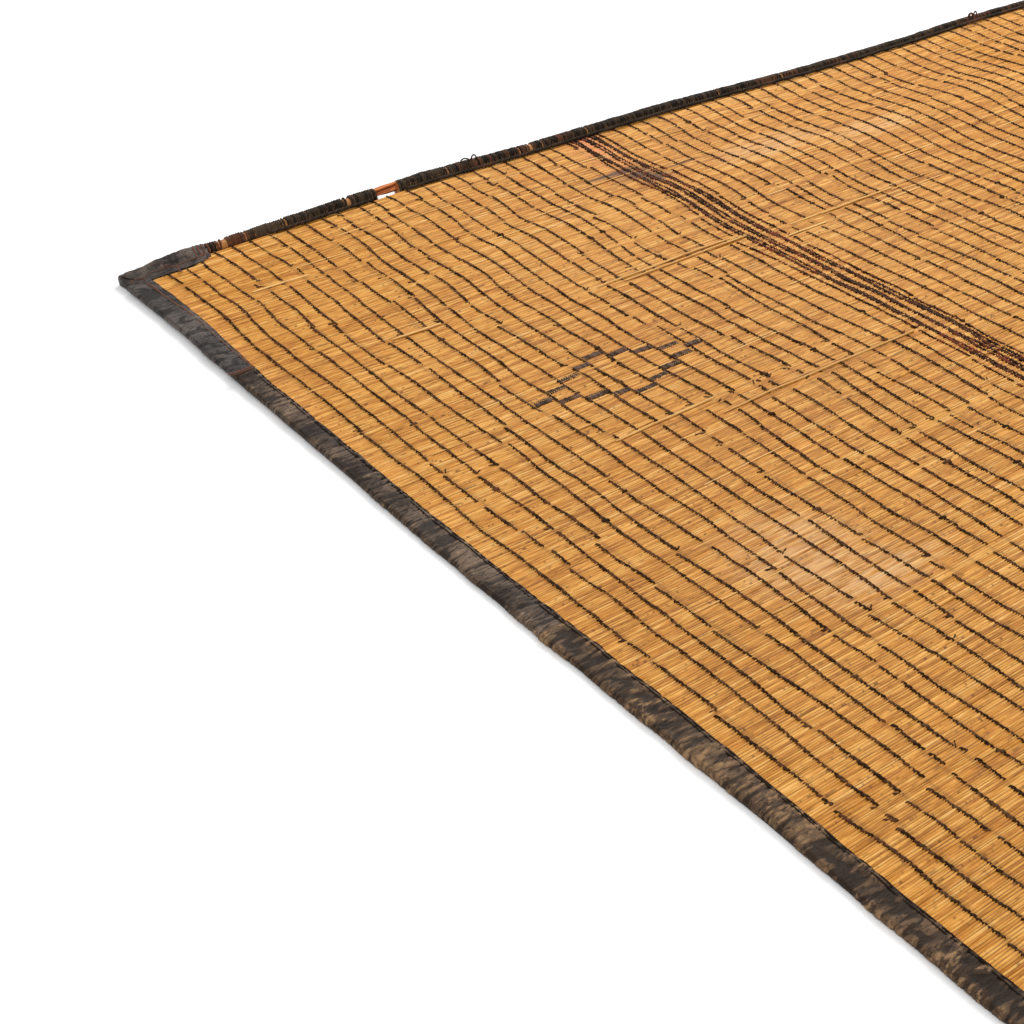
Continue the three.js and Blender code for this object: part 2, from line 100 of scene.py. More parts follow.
# Whole part, and the rest eased at both ends.
def eased(at):
    whole = np.floor(at).astype(int)
    rest = at - whole
    return whole, rest * rest * (3 - 2 * rest)


# Smooth noise from -1 to 1 along one direction.
def softNoise(at, grain, seed):
    knots = np.random.default_rng(seed).uniform(-1, 1, 1024)
    i, f = eased(np.asarray(at, float) / grain + 300)
    return knots[i % 1024] * (1 - f) + knots[(i + 1) % 1024] * f


# Smooth noise from -1 to 1 over two directions.
def softField(a, b, grainA, grainB, seed):
    knots = np.random.default_rng(seed).uniform(-1, 1, (256, 256))
    a, b = np.broadcast_arrays(np.asarray(a, float) / grainA + 60, np.asarray(b, float) / grainB + 60)
    (ia, fa), (ib, fb) = eased(a), eased(b)
    low = knots[ia % 256, ib % 256] * (1 - fa) + knots[(ia + 1) % 256, ib % 256] * fa
    high = knots[ia % 256, (ib + 1) % 256] * (1 - fa) + knots[(ia + 1) % 256, (ib + 1) % 256] * fa
    return low * (1 - fb) + high * fb


def edgeShare(distance, reach):
    t = np.clip((distance - edgePlateau) / (reach - edgePlateau), 0, 1)
    return 1 - t * t * (3 - 2 * t)


def mound(offset, reach):
    return np.where(np.abs(offset) < reach, 0.5 + 0.5 * np.cos(np.pi * offset / reach), 0)


def sideLift(along):
    return millimetres(roll, "along", along, "radius") - mat["thickness"] / 2 - sheetBelowRollMiddle


# Height of the sheet's underside over the floor.
def underside(along, across):
    along, across = np.broadcast_arrays(np.asarray(along, float), np.asarray(across, float))
    left = edgeShare(along, endReach)
    right = edgeShare(mat["length"] - along, endReach)
    back = edgeShare(across, sideReach)
    front = edgeShare(mat["width"] - across, sideReach)
    ends = millimetres(endLift, "across", across, "lift") * (left + right)
    sides = sideLift(along) * back + sideLift(mat["length"] - along) * front
    mounds = 0
    for i, rise in enumerate(swells["rise"]):
        lengthwise = mound(along - swells["along"][i], swells["reachAlong"][i])
        mounds = mounds + rise * lengthwise * mound(across - swells["across"][i], swells["reachAcross"][i])
    return ends + (1 - left) * (1 - right) * (sides + mounds * (1 - back) * (1 - front))


# Points of the frame, one row each.
def place(along, across, z):
    along, across, z = np.broadcast_arrays(along, across, z)
    return np.stack([along - mat["length"] / 2, mat["width"] / 2 - across, z], -1)


def planRows():
    half = [(rowPlan["first"], False)]
    for zones, start in (("leftZones", rowPlan["first"]), ("middleZones", rowPlan["band"][-1])):
        at = start
        for count, pitch in rowPlan[zones]:
            for _ in range(count):
                at += pitch
                half.append((at, False))
        if zones == "leftZones":
            half += [(b, i in rowPlan["thickInBand"]) for i, b in enumerate(rowPlan["band"])]
    mirrored = [(mat["length"] - at, thick) for at, thick in reversed(half)]
    return half + mirrored


rows = planRows()
bandAt = [i for i, (at, _) in enumerate(rows) if min(at, mat["length"] - at) in rowPlan["band"]]


# Where row number index runs, as it crosses the mat.
def rowAlong(index, across):
    at = rows[index][0]
    follows = 0 if index in bandAt and at < mat["length"] / 2 else 1 if index in bandAt else index
    own = np.sin(follows * 2.4 + across / 0.170) + 0.6 * np.sin(follows * 1.3 + across / 0.071)
    return at + millimetres(rowLean, "across", across, "shift") + rowPlan["wander"] * own


# Camera, as the photo was taken: one corner of the mat, seen from past its left end.
view = {
    "place": (-2.269, -0.831, 1.0),
    "heading": (0.4926, 0.6520, -0.5764),
    "lens": 59.7,
}


def addCamera():
    data = bpy.data.cameras.new("camera")
    data.lens = view["lens"]
    data.sensor_width = 36
    data.clip_start = 0.02
    camera = bpy.data.objects.new("camera", data)
    camera.location = view["place"]
    camera.rotation_euler = Vector(view["heading"]).to_track_quat("-Z", "Y").to_euler()
    bpy.context.collection.objects.link(camera)
    bpy.context.scene.camera = camera


addCamera()
clock("camera")


number, vector, geometry = "NodeSocketFloat", "NodeSocketVector", "NodeSocketGeometry"


# Gives each input a value, or links it to another node's output.
def setInputs(tree, made, inputs):
    for key, value in inputs.items():
        if isinstance(value, bpy.types.NodeSocket):
            tree.links.new(value, made.inputs[key])
        else:
            made.inputs[key].default_value = value


# Nodes of materials and geometry trees are made through these few helpers.
def addNode(tree, kind, inputs=None, **settings):
    made = tree.nodes.new(kind)
    for key, value in settings.items():
        setattr(made, key, value)
    setInputs(tree, made, inputs or {})
    return made


def calc(tree, operation, *values, clamp=False):
    inputs = dict(enumerate(values))
    return addNode(tree, "ShaderNodeMath", inputs, operation=operation, use_clamp=clamp).outputs[0]


def plus(tree, first, second, clamp=False):
    return calc(tree, "ADD", first, second, clamp=clamp)


def minus(tree, first, second):
    return calc(tree, "SUBTRACT", first, second)


def times(tree, first, second):
    return calc(tree, "MULTIPLY", first, second)


# 0 below low, 1 above high, soft in between.
def between(tree, value, low, high):
    inputs = {"Value": value, "From Min": low, "From Max": high}
    return addNode(tree, "ShaderNodeMapRange", inputs, interpolation_type="SMOOTHSTEP").outputs[0]


def noise(tree, where, scale, detail, **more):
    inputs = {"Vector": where, "Scale": scale, "Detail": detail, **more}
    return addNode(tree, "ShaderNodeTexNoise", inputs).outputs[0]


def stretch(tree, where, scale):
    return addNode(tree, "ShaderNodeMapping", {"Vector": where, "Scale": scale}).outputs[0]


def pointValue(tree, name):
    return addNode(tree, "ShaderNodeAttribute", attribute_name=name).outputs["Fac"]


def objectPlace(tree):
    return addNode(tree, "ShaderNodeTexCoord").outputs["Object"]


def mixColour(tree, share, first, second):
    first, second = (c if isinstance(c, bpy.types.NodeSocket) else (*c, 1) for c in (first, second))
    return addNode(tree, "ShaderNodeMix", {0: share, 6: first, 7: second}, data_type="RGBA").outputs[2]


def ramp(tree, value, stops):
    made = addNode(tree, "ShaderNodeValToRGB", {"Fac": value})
    elements = made.color_ramp.elements
    for i, (at, colour) in enumerate(stops):
        element = elements[i] if i < 2 else elements.new(at)
        element.position = at
        element.color = (*colour, 1)
    return made.outputs[0]


def newMaterial(name, specular=0.5):
    material = bpy.data.materials.new(name)
    material.use_nodes = True
    tree = material.node_tree
    shader = tree.nodes["Principled BSDF"]
    shader.inputs["Specular IOR Level"].default_value = specular
    return material, tree, shader


def dress(tree, shader, colour, rough, height, strength, distance):
    bump = addNode(tree, "ShaderNodeBump", {"Height": height, "Strength": strength, "Distance": distance})
    setInputs(tree, shader, {"Base Color": colour, "Roughness": rough, "Normal": bump.outputs[0]})


def groupTree(name, inputs, outputs, kind="ShaderNodeTree"):
    tree = bpy.data.node_groups.new(name, kind)
    for direction, sockets in (("INPUT", inputs), ("OUTPUT", outputs)):
        for label, socketType, value in sockets:
            made = tree.interface.new_socket(name=label, in_out=direction, socket_type=socketType)
            if value is not None:
                made.default_value = value
    return tree, tree.nodes.new("NodeGroupInput"), tree.nodes.new("NodeGroupOutput")


# Worn leather: grain for the bump, fine creases, and a mask where the dye has worn off, raised on the ridges,
# where it is also a painted highlight. The crease output also darkens the creases as painted shade.
def makeLeatherGroup():
    tree, given, result = groupTree(
        "wornLeather",
        [("Grain", number, 900.0), ("Wear", number, 0.4), ("Ridge", number, 0.5), ("Across", vector, None)],
        [(label, number, None) for label in ("Rubbed", "Tone", "Height", "Crease")],
    )
    where = given.outputs["Across"]
    cells = addNode(tree, "ShaderNodeTexVoronoi", {
        "Vector": where, "Scale": given.outputs["Grain"]}).outputs[0]
    fine = noise(tree, where, 260.0, 4.0)
    patches = noise(tree, stretch(tree, where, (0.45, 1.0, 1.0)), 215.0, 4.0, Roughness=0.65)
    # The ridge value lifts the worn-off mask on the high parts: partly real wear, partly a painted highlight.
    level = plus(tree, patches, times(tree, given.outputs["Ridge"], 0.30))
    level = plus(tree, level, times(tree, fine, 0.18))
    level = minus(tree, level, minus(tree, 1.16, times(tree, given.outputs["Wear"], 0.4)))
    folds = noise(tree, stretch(tree, where, (0.30, 1.0, 1.0)), 170.0, 2.0, Distortion=0.4)
    crease = between(tree, calc(tree, "ABSOLUTE", minus(tree, folds, 0.5)), 0.045, 0.004)
    height = minus(tree, plus(tree, times(tree, cells, 0.5), fine), times(tree, crease, 1.2))
    setInputs(tree, result, {
        "Rubbed": between(tree, level, -0.05, 0.24), "Tone": noise(tree, where, 14.0, 3.0),
        "Height": height, "Crease": crease})
    return tree


leatherGroup = makeLeatherGroup()


# look: dark and light colours, the painted shade colour for grooves and creases, the colour of worn-off dye
# that also serves as a painted highlight on ridges, wear from 0 to 1, roughness.
def leatherMaterial(name, look):
    material, tree, shader = newMaterial(name, 0.14)
    ridge = pointValue(tree, "ridge")
    worn = addNode(tree, "ShaderNodeGroup", {
        "Wear": look["wear"], "Ridge": ridge, "Across": objectPlace(tree)}, node_tree=leatherGroup).outputs
    dyed = mixColour(tree, between(tree, worn["Tone"], 0.35, 0.65), look["dark"], look["light"])
    # Painted shade: darker where the ridge value is low (the valleys) and along the fine creases.
    grooveShade = calc(tree, "MAXIMUM", between(tree, ridge, 0.6, 0.0), times(tree, worn["Crease"], 0.75))
    dyed = mixColour(tree, times(tree, grooveShade, 0.85), dyed, look["grooveShade"])
    # Pale where the dye is worn off, and on the ridges as a painted highlight.
    colour = mixColour(tree, worn["Rubbed"], dyed, look["rubbedAndHighlight"])
    rough = plus(tree, look["roughness"], times(tree, worn["Rubbed"], 0.25))
    dress(tree, shader, colour, rough, worn["Height"], 0.5, 0.0007)
    return material


leathers = {
    "blue": leatherMaterial("leatherBlue", {
        "dark": (0.038, 0.031, 0.029), "light": (0.104, 0.084, 0.073), "grooveShade": (0.010, 0.007, 0.006),
        "rubbedAndHighlight": (0.230, 0.170, 0.128), "wear": 0.40, "roughness": 0.50}),
    "cap": leatherMaterial("leatherCap", {
        "dark": (0.034, 0.024, 0.019), "light": (0.108, 0.079, 0.062), "grooveShade": (0.009, 0.005, 0.004),
        "rubbedAndHighlight": (0.210, 0.145, 0.105), "wear": 0.40, "roughness": 0.48}),
    "grey": leatherMaterial("leatherGrey", {
        "dark": (0.044, 0.028, 0.018), "light": (0.150, 0.100, 0.066), "grooveShade": (0.011, 0.006, 0.004),
        "rubbedAndHighlight": (0.300, 0.205, 0.130), "wear": 0.56, "roughness": 0.55}),
    "mottled": leatherMaterial("leatherMottled", {
        "dark": (0.046, 0.026, 0.015), "light": (0.125, 0.073, 0.038), "grooveShade": (0.011, 0.006, 0.003),
        "rubbedAndHighlight": (0.270, 0.160, 0.080), "wear": 0.78, "roughness": 0.6}),
}


# Twisted or wrapped leather thong. The tone attribute tells one turn from the next.
def thongMaterial(name, dark, light, red):
    material, tree, shader = newMaterial(name, 0.06)
    tone, where = pointValue(tree, "tone"), objectPlace(tree)
    fine, broad = noise(tree, where, 700.0, 3.0), noise(tree, where, 6.0, 2.0)
    mixed = plus(tree, times(tree, tone, 0.6), times(tree, fine, 0.5))
    colour = mixColour(tree, between(tree, mixed, 0.25, 0.95), dark, light)
    reddish = times(tree, between(tree, broad, 0.48, 0.58), between(tree, tone, 0.4, 0.85))
    colour = mixColour(tree, times(tree, reddish, 0.7), colour, red)
    dress(tree, shader, colour, 0.5, fine, 0.4, 0.0004)
    return material


twineLook = thongMaterial("twineThong", (0.028, 0.013, 0.006), (0.125, 0.066, 0.030), (0.12, 0.046, 0.021))
bandLook = thongMaterial("bandThong", (0.020, 0.007, 0.003), (0.095, 0.036, 0.017), (0.20, 0.042, 0.017))
wrapLook = thongMaterial("wrapThong", (0.011, 0.007, 0.004), (0.070, 0.044, 0.025), (0.13, 0.040, 0.018))
barLook = thongMaterial("lozengeThong", (0.050, 0.031, 0.022), (0.170, 0.108, 0.078), (0.16, 0.070, 0.045))


# Dry stalks. weave holds the row number and the stalk number, marks the wear, stain and dye. Shade is painted
# into the seams between stalks and beside each row.
def strawMaterial():
    material, tree, shader = newMaterial("straw", 0.1)
    weave, marks = (addNode(tree, "ShaderNodeSeparateXYZ", {
        0: addNode(tree, "ShaderNodeAttribute", attribute_name=name).outputs["Vector"]}).outputs
        for name in ("weave", "marks"))
    where = objectPlace(tree)
    along = addNode(tree, "ShaderNodeSeparateXYZ", {0: where}).outputs[0]
    stalk = calc(tree, "FLOOR", weave[1])

    def streaks(length, step, detail=2.0, vary=stalk):
        at = {0: times(tree, along, length), 1: times(tree, vary, step)}
        return noise(tree, addNode(tree, "ShaderNodeCombineXYZ", at).outputs[0], 1.0, detail)

    def mask(length, step, low, high, detail=2.0):
        return between(tree, streaks(length, step, detail), low, high)

    # 1 at a whole number, 0 midway to the next.
    def nearWhole(value):
        return times(tree, calc(tree, "ABSOLUTE", minus(tree, calc(tree, "FRACT", value), 0.5)), 2.0)

    own = addNode(tree, "ShaderNodeTexWhiteNoise", {"W": stalk}, noise_dimensions="1D").outputs["Value"]
    runs, pieces = streaks(4.0, 5.31), streaks(22.0, 7.73)
    fibre = streaks(60.0, 3.9, 4.0, weave[1])
    broad = noise(tree, where, 2.4, 2.0)
    level = times(tree, own, 0.30)
    for value, weight in ((runs, 0.5), (pieces, 0.85), (fibre, 1.1), (broad, 0.22)):
        level = plus(tree, level, times(tree, minus(tree, value, 0.5), weight))
    colour = ramp(tree, plus(tree, level, 0.402, clamp=True), [
        (0.0, (0.200, 0.060, 0.008)),
        (1.0, (0.800, 0.480, 0.170)),
        (0.25, (0.380, 0.135, 0.017)),
        (0.5, (0.570, 0.235, 0.036)),
        (0.75, (0.740, 0.370, 0.080)),
    ])
    freckles = times(tree, mask(120.0, 3.17, 0.60, 0.70), mask(9.0, 11.3, 0.42, 0.6))
    browned = mask(34.0, 17.9, 0.63, 0.72, 3.0)
    # Painted shade in the seams between stalks, broken into dashes by noise.
    seamShade = times(tree, calc(tree, "POWER", nearWhole(weave[1]), 2.4), mask(18.0, 2.3, 0.28, 0.62))
    # Painted shade on the stalks close to each twined row, on both sides.
    shadeNearRow = between(tree, nearWhole(weave[0]), 0.62, 1.0)
    faded = times(tree, marks[0], between(tree, pieces, 0.34, 0.60))
    dyed = times(tree, marks[2], between(tree, pieces, 0.34, 0.56))
    for amount, share, tint in (
        (freckles, 0.75, (0.110, 0.038, 0.008)),
        (browned, 0.55, (0.140, 0.052, 0.010)),
        (seamShade, 0.92, (0.070, 0.024, 0.005)),
        (shadeNearRow, 0.32, (0.150, 0.060, 0.012)),
        (faded, 1.0, (0.710, 0.455, 0.240)),
        (marks[1], 1.0, (0.050, 0.034, 0.028)),
        (dyed, 1.0, (0.720, 0.240, 0.110)),
    ):
        colour = mixColour(tree, times(tree, amount, share), colour, tint)
    dress(tree, shader, colour, plus(tree, 0.42, times(tree, fibre, 0.22)), fibre, 0.5, 0.0006)
    return material


strawLook = strawMaterial()


# Loose or bundled stalks, with the tone attribute telling them apart.
def plainStraw(name, dark, light, seamShade):
    material, tree, shader = newMaterial(name, 0.15)
    fibre = noise(tree, stretch(tree, objectPlace(tree), (40.0, 500.0, 500.0)), 1.0, 4.0)
    mixed = plus(tree, times(tree, pointValue(tree, "tone"), 0.6), times(tree, fibre, 0.5))
    colour = mixColour(tree, between(tree, mixed, 0.2, 0.9), dark, light)
    # Painted shade: dark lines in the hollows of the fibre bump.
    colour = mixColour(tree, times(tree, between(tree, fibre, 0.36, 0.28), 0.8), colour, seamShade)
    dress(tree, shader, colour, 0.5, fibre, 0.4, 0.0005)
    return material


looseLook = plainStraw("looseStraw", (0.50, 0.22, 0.045), (0.80, 0.50, 0.18), (0.20, 0.07, 0.014))
coreLook = plainStraw("bundleStraw", (0.27, 0.065, 0.018), (0.66, 0.22, 0.070), (0.10, 0.025, 0.010))
tanLook = plainStraw("tanStraw", (0.26, 0.095, 0.025), (0.56, 0.27, 0.085), (0.10, 0.035, 0.010))
threadLook = thongMaterial("sewingThong", (0.012, 0.007, 0.005), (0.150, 0.085, 0.058), (0.17, 0.065, 0.04))
clock("materials")


# A new object from rows of points and faces, with point attributes of one or three numbers.
def makeMesh(name, points, faces, attributes=None, smooth=True):
    mesh = bpy.data.meshes.new(name)
    points = np.asarray(points, float).reshape(-1, 3)
    mesh.from_pydata(points.tolist(), [], faces if isinstance(faces, list) else faces.tolist())
    for label, values in (attributes or {}).items():
        values = np.asarray(values, np.float32)
        wide = values.ndim == 2
        kept = mesh.attributes.new(label, "FLOAT_VECTOR" if wide else "FLOAT", "POINT")
        kept.data.foreach_set("vector" if wide else "value", values.ravel())
    mesh.polygons.foreach_set("use_smooth", np.full(len(mesh.polygons), smooth))
    mesh.update()
    made = bpy.data.objects.new(name, mesh)
    bpy.context.collection.objects.link(made)
    return made


# Quads between lines of points, length points each, starting at point number first.
def gridFaces(first, lines, length, turned=False):
    index = first + np.arange(lines * length).reshape(lines, length)
    a, b, c, d = index[:-1, :-1], index[:-1, 1:], index[1:, 1:], index[1:, :-1]
    quads = np.stack([a, d, c, b] if turned else [a, b, c, d], -1).reshape(-1, 4)
    return quads.tolist()


# The sheet of stalks.
sheet = {
    "widths": (0.0019, 0.0035),  # narrowest and widest stalk
    "crown": 0.0013,  # how far a stalk's crown stands over the seams beside it
    "unevenness": 0.00045,
    "sunkBy": 0.0013,
    "sunkShare": 0.035,
    "undersideLines": 60,
}

# Pale worn places, dark stains and dyed stalks.
wornSpots = {
    "along": [0.94, 1.10, 0.265, 0.30, 1.30, 2.20, 2.60, 1.90],
    "across": [0.19, 0.24, 0.93, 1.00, 0.62, 0.80, 1.60, 1.40],
    "reachAlong": [0.13, 0.10, 0.10, 0.11, 0.15, 0.18, 0.14, 0.16],
    "reachAcross": [0.05, 0.04, 0.10, 0.04, 0.06, 0.07, 0.09, 0.06],
}
stains = {
    "along": [0.728, 0.715, 0.672, 0.80, 0.738],
    "across": [0.148, 0.131, 0.129, 0.158, 0.172],
    "reachAlong": [0.036, 0.032, 0.036, 0.045, 0.030],
    "reachAcross": [0.027, 0.012, 0.005, 0.004, 0.022],
}
dyedStretch = {"along": 0.7285, "reach": 0.031, "across": 0.16}


def spots(table, along, across, soft=0.5):
    total = np.zeros(np.broadcast(along, across).shape)
    for i, at in enumerate(table["along"]):
        a = (along - at) / table["reachAlong"][i]
        b = (across - table["across"][i]) / table["reachAcross"][i]
        total = np.maximum(total, np.clip((1 - np.sqrt(a * a + b * b)) / soft, 0, 1))
    return total


# How far inside its nominal side the sheet ends, beside the roll.
def sideOutline(along):
    return millimetres(roll, "along", along, "radius") - millimetres(roll, "along", along, "centre") + 0.0003


# Nominal places across the mat of the seams between stalks.
def stalkPositions():
    rng = np.random.default_rng(mat["seed"])
    widths = rng.uniform(*sheet["widths"], int(mat["width"] / mat["stalkWidth"]))
    edges = np.concatenate([[0], np.cumsum(widths)])
    return edges * mat["width"] / edges[-1]


seams = stalkPositions()
stalkCount = len(seams) - 1


bowReach = 0.5  # how far in from a side the stalks bow with its roll


# Real place across of a nominal one.
def bent(along, nominal):
    back = sideOutline(along) * np.clip(1 - nominal / bowReach, 0, 1)
    front = sideOutline(mat["length"] - along) * np.clip(1 - (mat["width"] - nominal) / bowReach, 0, 1)
    return nominal + back - front


# The stalks between two rows of twine, or between a row and an end, as one closed sheet.
def buildSheetHalf(name, firstRow, lastRow, leftEnd, rightEnd):
    rng = np.random.default_rng(mat["seed"] + 1)
    lines = ([-1] if leftEnd else []) + list(range(firstRow, lastRow + 1)) + ([len(rows)] if rightEnd else [])
    crownNoise = rng.normal(0, 1, (len(rows) + 2, stalkCount))
    smoothed = (crownNoise[:-1] + crownNoise[1:]) * 0.7
    smoothed = np.vstack([smoothed, crownNoise[-1:]])
    sunk = rng.random((len(rows) + 2, stalkCount)) < sheet["sunkShare"]
    sunk[1:] |= sunk[:-1]
    columns = np.empty(2 * stalkCount + 1)
    columns[0::2] = seams
    columns[1::2] = (seams[:-1] + seams[1:]) / 2
    numbers = np.arange(2 * stalkCount + 1) / 2
    top, weave, marks, low = [], [], [], []
    lowColumns = np.linspace(0, mat["width"], sheet["undersideLines"])

    def lineAlong(line, across):
        if line < 0:
            return millimetres(stalkEnds, "across", across, "end")
        if line == len(rows):
            return mat["length"] - millimetres(stalkEnds, "across", across, "end")
        return rowAlong(line, across)

    for line in lines:
        along = lineAlong(line, columns)
        across = bent(along, columns)
        z = underside(along, np.clip(across, 0, mat["width"])) + mat["thickness"]
        crowns = np.zeros_like(z)
        crowns[1::2] = sheet["crown"] * 0.5 + smoothed[line + 1] * sheet["unevenness"]
        crowns[1::2] -= sheet["sunkBy"] * sunk[line + 1]
        crowns[0::2] = -sheet["crown"] * 0.5
        if line in (-1, len(rows)):
            crowns = crowns * 0.3
        top.append(place(along, across, z + crowns))
        weave.append(np.stack([np.full_like(numbers, line * 1.0), numbers, 0 * numbers], -1))
        stain = spots(stains, along, across, 0.7)
        dye = np.clip(1 - np.abs(along - dyedStretch["along"]) / dyedStretch["reach"], 0, 1)
        dye = np.clip(dye * 2, 0, 1) * np.clip(1 - across / dyedStretch["across"], 0, 1)
        marks.append(np.stack([spots(wornSpots, along, across, 0.8) * 0.5, stain * 0.95, dye], -1))
        along = lineAlong(line, lowColumns)
        across = bent(along, lowColumns)
        low.append(place(along, across, underside(along, np.clip(across, 0, mat["width"]))))
    width, lowWidth = len(columns), len(lowColumns)
    points = np.concatenate([np.concatenate(top), np.concatenate(low)])
    lowFirst = len(lines) * width
    faces = gridFaces(0, len(lines), width, turned=True) + gridFaces(lowFirst, len(lines), lowWidth)
    for column, lowColumn, turned in ((0, 0, False), (width - 1, lowWidth - 1, True)):
        for i in range(len(lines) - 1):
            a, b = i * width + column, (i + 1) * width + column
            c, d = lowFirst + (i + 1) * lowWidth + lowColumn, lowFirst + i * lowWidth + lowColumn
            faces.append([a, d, c, b] if turned else [a, b, c, d])
    for line, turned in ((0, True), (len(lines) - 1, False)):
        upper = [line * width + i for i in range(width)]
        lower = [lowFirst + line * lowWidth + i for i in range(lowWidth)]
        i = j = 0
        while i + 1 < width or j + 1 < lowWidth:
            stepUpper = j + 1 == lowWidth or (i + 1 < width and columns[i + 1] <= lowColumns[j + 1])
            face = [upper[i], upper[i + 1], lower[j]] if stepUpper else [upper[i], lower[j + 1], lower[j]]
            i, j = (i + 1, j) if stepUpper else (i, j + 1)
            faces.append(face[::-1] if turned else face)
    blank = np.zeros((len(lines) * lowWidth, 3))
    lowWeave = blank + [0.5, 0.5, 0]
    lowWeave[:, 1] = np.tile(lowColumns / mat["stalkWidth"], len(lines))
    made = makeMesh(name, points, faces, {
        "weave": np.concatenate([np.concatenate(weave), lowWeave]),
        "marks": np.concatenate([np.concatenate(marks), blank]),
    })
    made.data.materials.append(strawLook)
    return made


middleRow = len(rows) // 2 - 1
stalksLeft = buildSheetHalf("stalks_left", 0, middleRow, True, False)
stalksRight = buildSheetHalf("stalks_right", middleRow, len(rows) - 1, False, True)
clock("sheet of stalks")


# Geometry trees: one sets a small form on each point, the other draws tubes along lines.
def startTree(name, inputs):
    inputs = [("Geometry", geometry, None), *inputs, ("Material", "NodeSocketMaterial", None)]
    return groupTree(name, inputs, [("Geometry", geometry, None)], "GeometryNodeTree")


def endTree(tree, given, result, grown):
    real = addNode(tree, "GeometryNodeRealizeInstances", {"Geometry": grown})
    last = addNode(tree, "GeometryNodeSetMaterial", {
        "Geometry": real.outputs[0], "Material": given.outputs["Material"]})
    setInputs(tree, result, {"Geometry": last.outputs[0]})
    return tree


def named(tree, name, kind):
    return addNode(tree, "GeometryNodeInputNamedAttribute", {"Name": name}, data_type=kind).outputs[0]


def makeTurnTree():
    tree, given, result = startTree("setTurns", [
        ("Form", "NodeSocketObject", None), ("Unevenness", number, 0.15), ("Seed", "NodeSocketInt", 3)])
    form = addNode(tree, "GeometryNodeObjectInfo", {"Object": given.outputs["Form"]})
    rotation = addNode(tree, "FunctionNodeEulerToRotation", {0: named(tree, "turn", "FLOAT_VECTOR")})
    seed, spread = given.outputs["Seed"], given.outputs["Unevenness"]
    vary = addNode(tree, "FunctionNodeRandomValue", {
        2: minus(tree, 1.0, spread), 3: plus(tree, 1.0, spread), "Seed": seed}, data_type="FLOAT")
    scale = addNode(tree, "ShaderNodeVectorMath", {
        0: named(tree, "size", "FLOAT_VECTOR"), "Scale": vary.outputs[1]}, operation="SCALE")
    turns = addNode(tree, "GeometryNodeInstanceOnPoints", {
        "Points": given.outputs["Geometry"], "Instance": form.outputs["Geometry"],
        "Rotation": rotation.outputs[0], "Scale": scale.outputs[0]})
    tone = addNode(tree, "FunctionNodeRandomValue", {"Seed": plus(tree, seed, 7.0)}, data_type="FLOAT")
    inputs = {"Geometry": turns.outputs[0], "Name": "tone", "Value": tone.outputs[1]}
    toned = addNode(tree, "GeometryNodeStoreNamedAttribute", inputs, data_type="FLOAT", domain="INSTANCE")
    return endTree(tree, given, result, toned.outputs[0])


def makeStrandTree():
    tree, given, result = startTree("drawStrands", [("Sides", "NodeSocketInt", 5)])
    lines = addNode(tree, "GeometryNodeMeshToCurve", {"Mesh": given.outputs["Geometry"]})
    thick = named(tree, "thick", "FLOAT")
    sized = addNode(tree, "GeometryNodeSetCurveRadius", {"Curve": lines.outputs[0], "Radius": thick})
    ring = addNode(tree, "GeometryNodeCurvePrimitiveCircle", {
        "Resolution": given.outputs["Sides"], "Radius": 1.0})
    tubes = addNode(tree, "GeometryNodeCurveToMesh", {
        "Curve": sized.outputs[0], "Profile Curve": ring.outputs[0], "Fill Caps": True})
    if "Scale" in tubes.inputs:
        tree.links.new(thick, tubes.inputs["Scale"])
    smooth = addNode(tree, "GeometryNodeSetShadeSmooth", {"Geometry": tubes.outputs[0]})
    return endTree(tree, given, result, smooth.outputs[0])


turnTree = makeTurnTree()
strandTree = makeStrandTree()


# Runs a geometry tree on the object, then keeps its result as a plain mesh.
def growPiece(made, tree, values):
    modifier = made.modifiers.new("grow", "NODES")
    modifier.node_group = tree
    sockets = {s.name: s.identifier for s in tree.interface.items_tree if s.in_out == "INPUT"}
    for label, value in values.items():
        modifier[sockets[label]] = value
    bpy.context.view_layer.update()
    ready = made.evaluated_get(bpy.context.evaluated_depsgraph_get())
    mesh = bpy.data.meshes.new_from_object(ready)
    made.modifiers.clear()
    made.data = mesh
    mesh.name = made.name
    return made


# One turn of thong as it crosses over a pair of stalks: a low tent with a rounded ridge.
def thongForm():
    points = [(-0.5, -1, 0), (0.5, -1, 0), (0.5, 1, 0), (-0.5, 1, 0), (0, -0.55, 1), (0, 0.55, 1)]
    faces = [[0, 3, 2, 1], [0, 1, 4], [2, 3, 5], [1, 2, 5, 4], [3, 0, 4, 5]]
    return makeMesh("thongForm", points, faces)


form = thongForm()


def setTurns(name, points, turns, sizes, look, seed, unevenness=0.15):
    made = makeMesh(name, points, [], {"turn": turns, "size": sizes})
    return growPiece(made, turnTree, {
        "Form": form, "Unevenness": unevenness, "Seed": seed, "Material": look})


# lines: (points, thickness at each point, tone) each.
def drawStrands(name, lines, look, sides=5):
    points, thick, tone, edges = [], [], [], []
    for line, radius, shade in lines:
        start = len(points)
        points += [tuple(p) for p in line]
        thick += list(np.broadcast_to(radius, len(line)))
        tone += list(np.broadcast_to(shade, len(line)))
        edges += [(start + i, start + i + 1) for i in range(len(line) - 1)]
    made = makeMesh(name, points, [], {"thick": thick, "tone": tone})
    made.data.edges.add(len(edges))
    made.data.edges.foreach_set("vertices", np.array(edges, np.int32).ravel())
    return growPiece(made, strandTree, {"Sides": sides, "Material": look})


# Twined rows. Each turn of thong is a slanted tent, with breaks where stalks were left out.
twine = {
    "pitch": 0.0055,
    "turnLength": 0.0034,  # half of it
    "turnWidth": 0.0023,
    "turnHeight": 0.0024,
    "bandTurn": (0.0042, 0.0042),  # width, and half the length
    "slant": 0.38,  # radians off the row's line
    "knotEvery": 0.8,
    "knotSize": 1.35,
    "breakEvery": 0.165,
    "breakLength": (0.003, 0.009),
    "sideStep": 0.0032,  # a row jogs by this after a break
    "jogLength": 0.13,
    "wander": 0.0023,
}

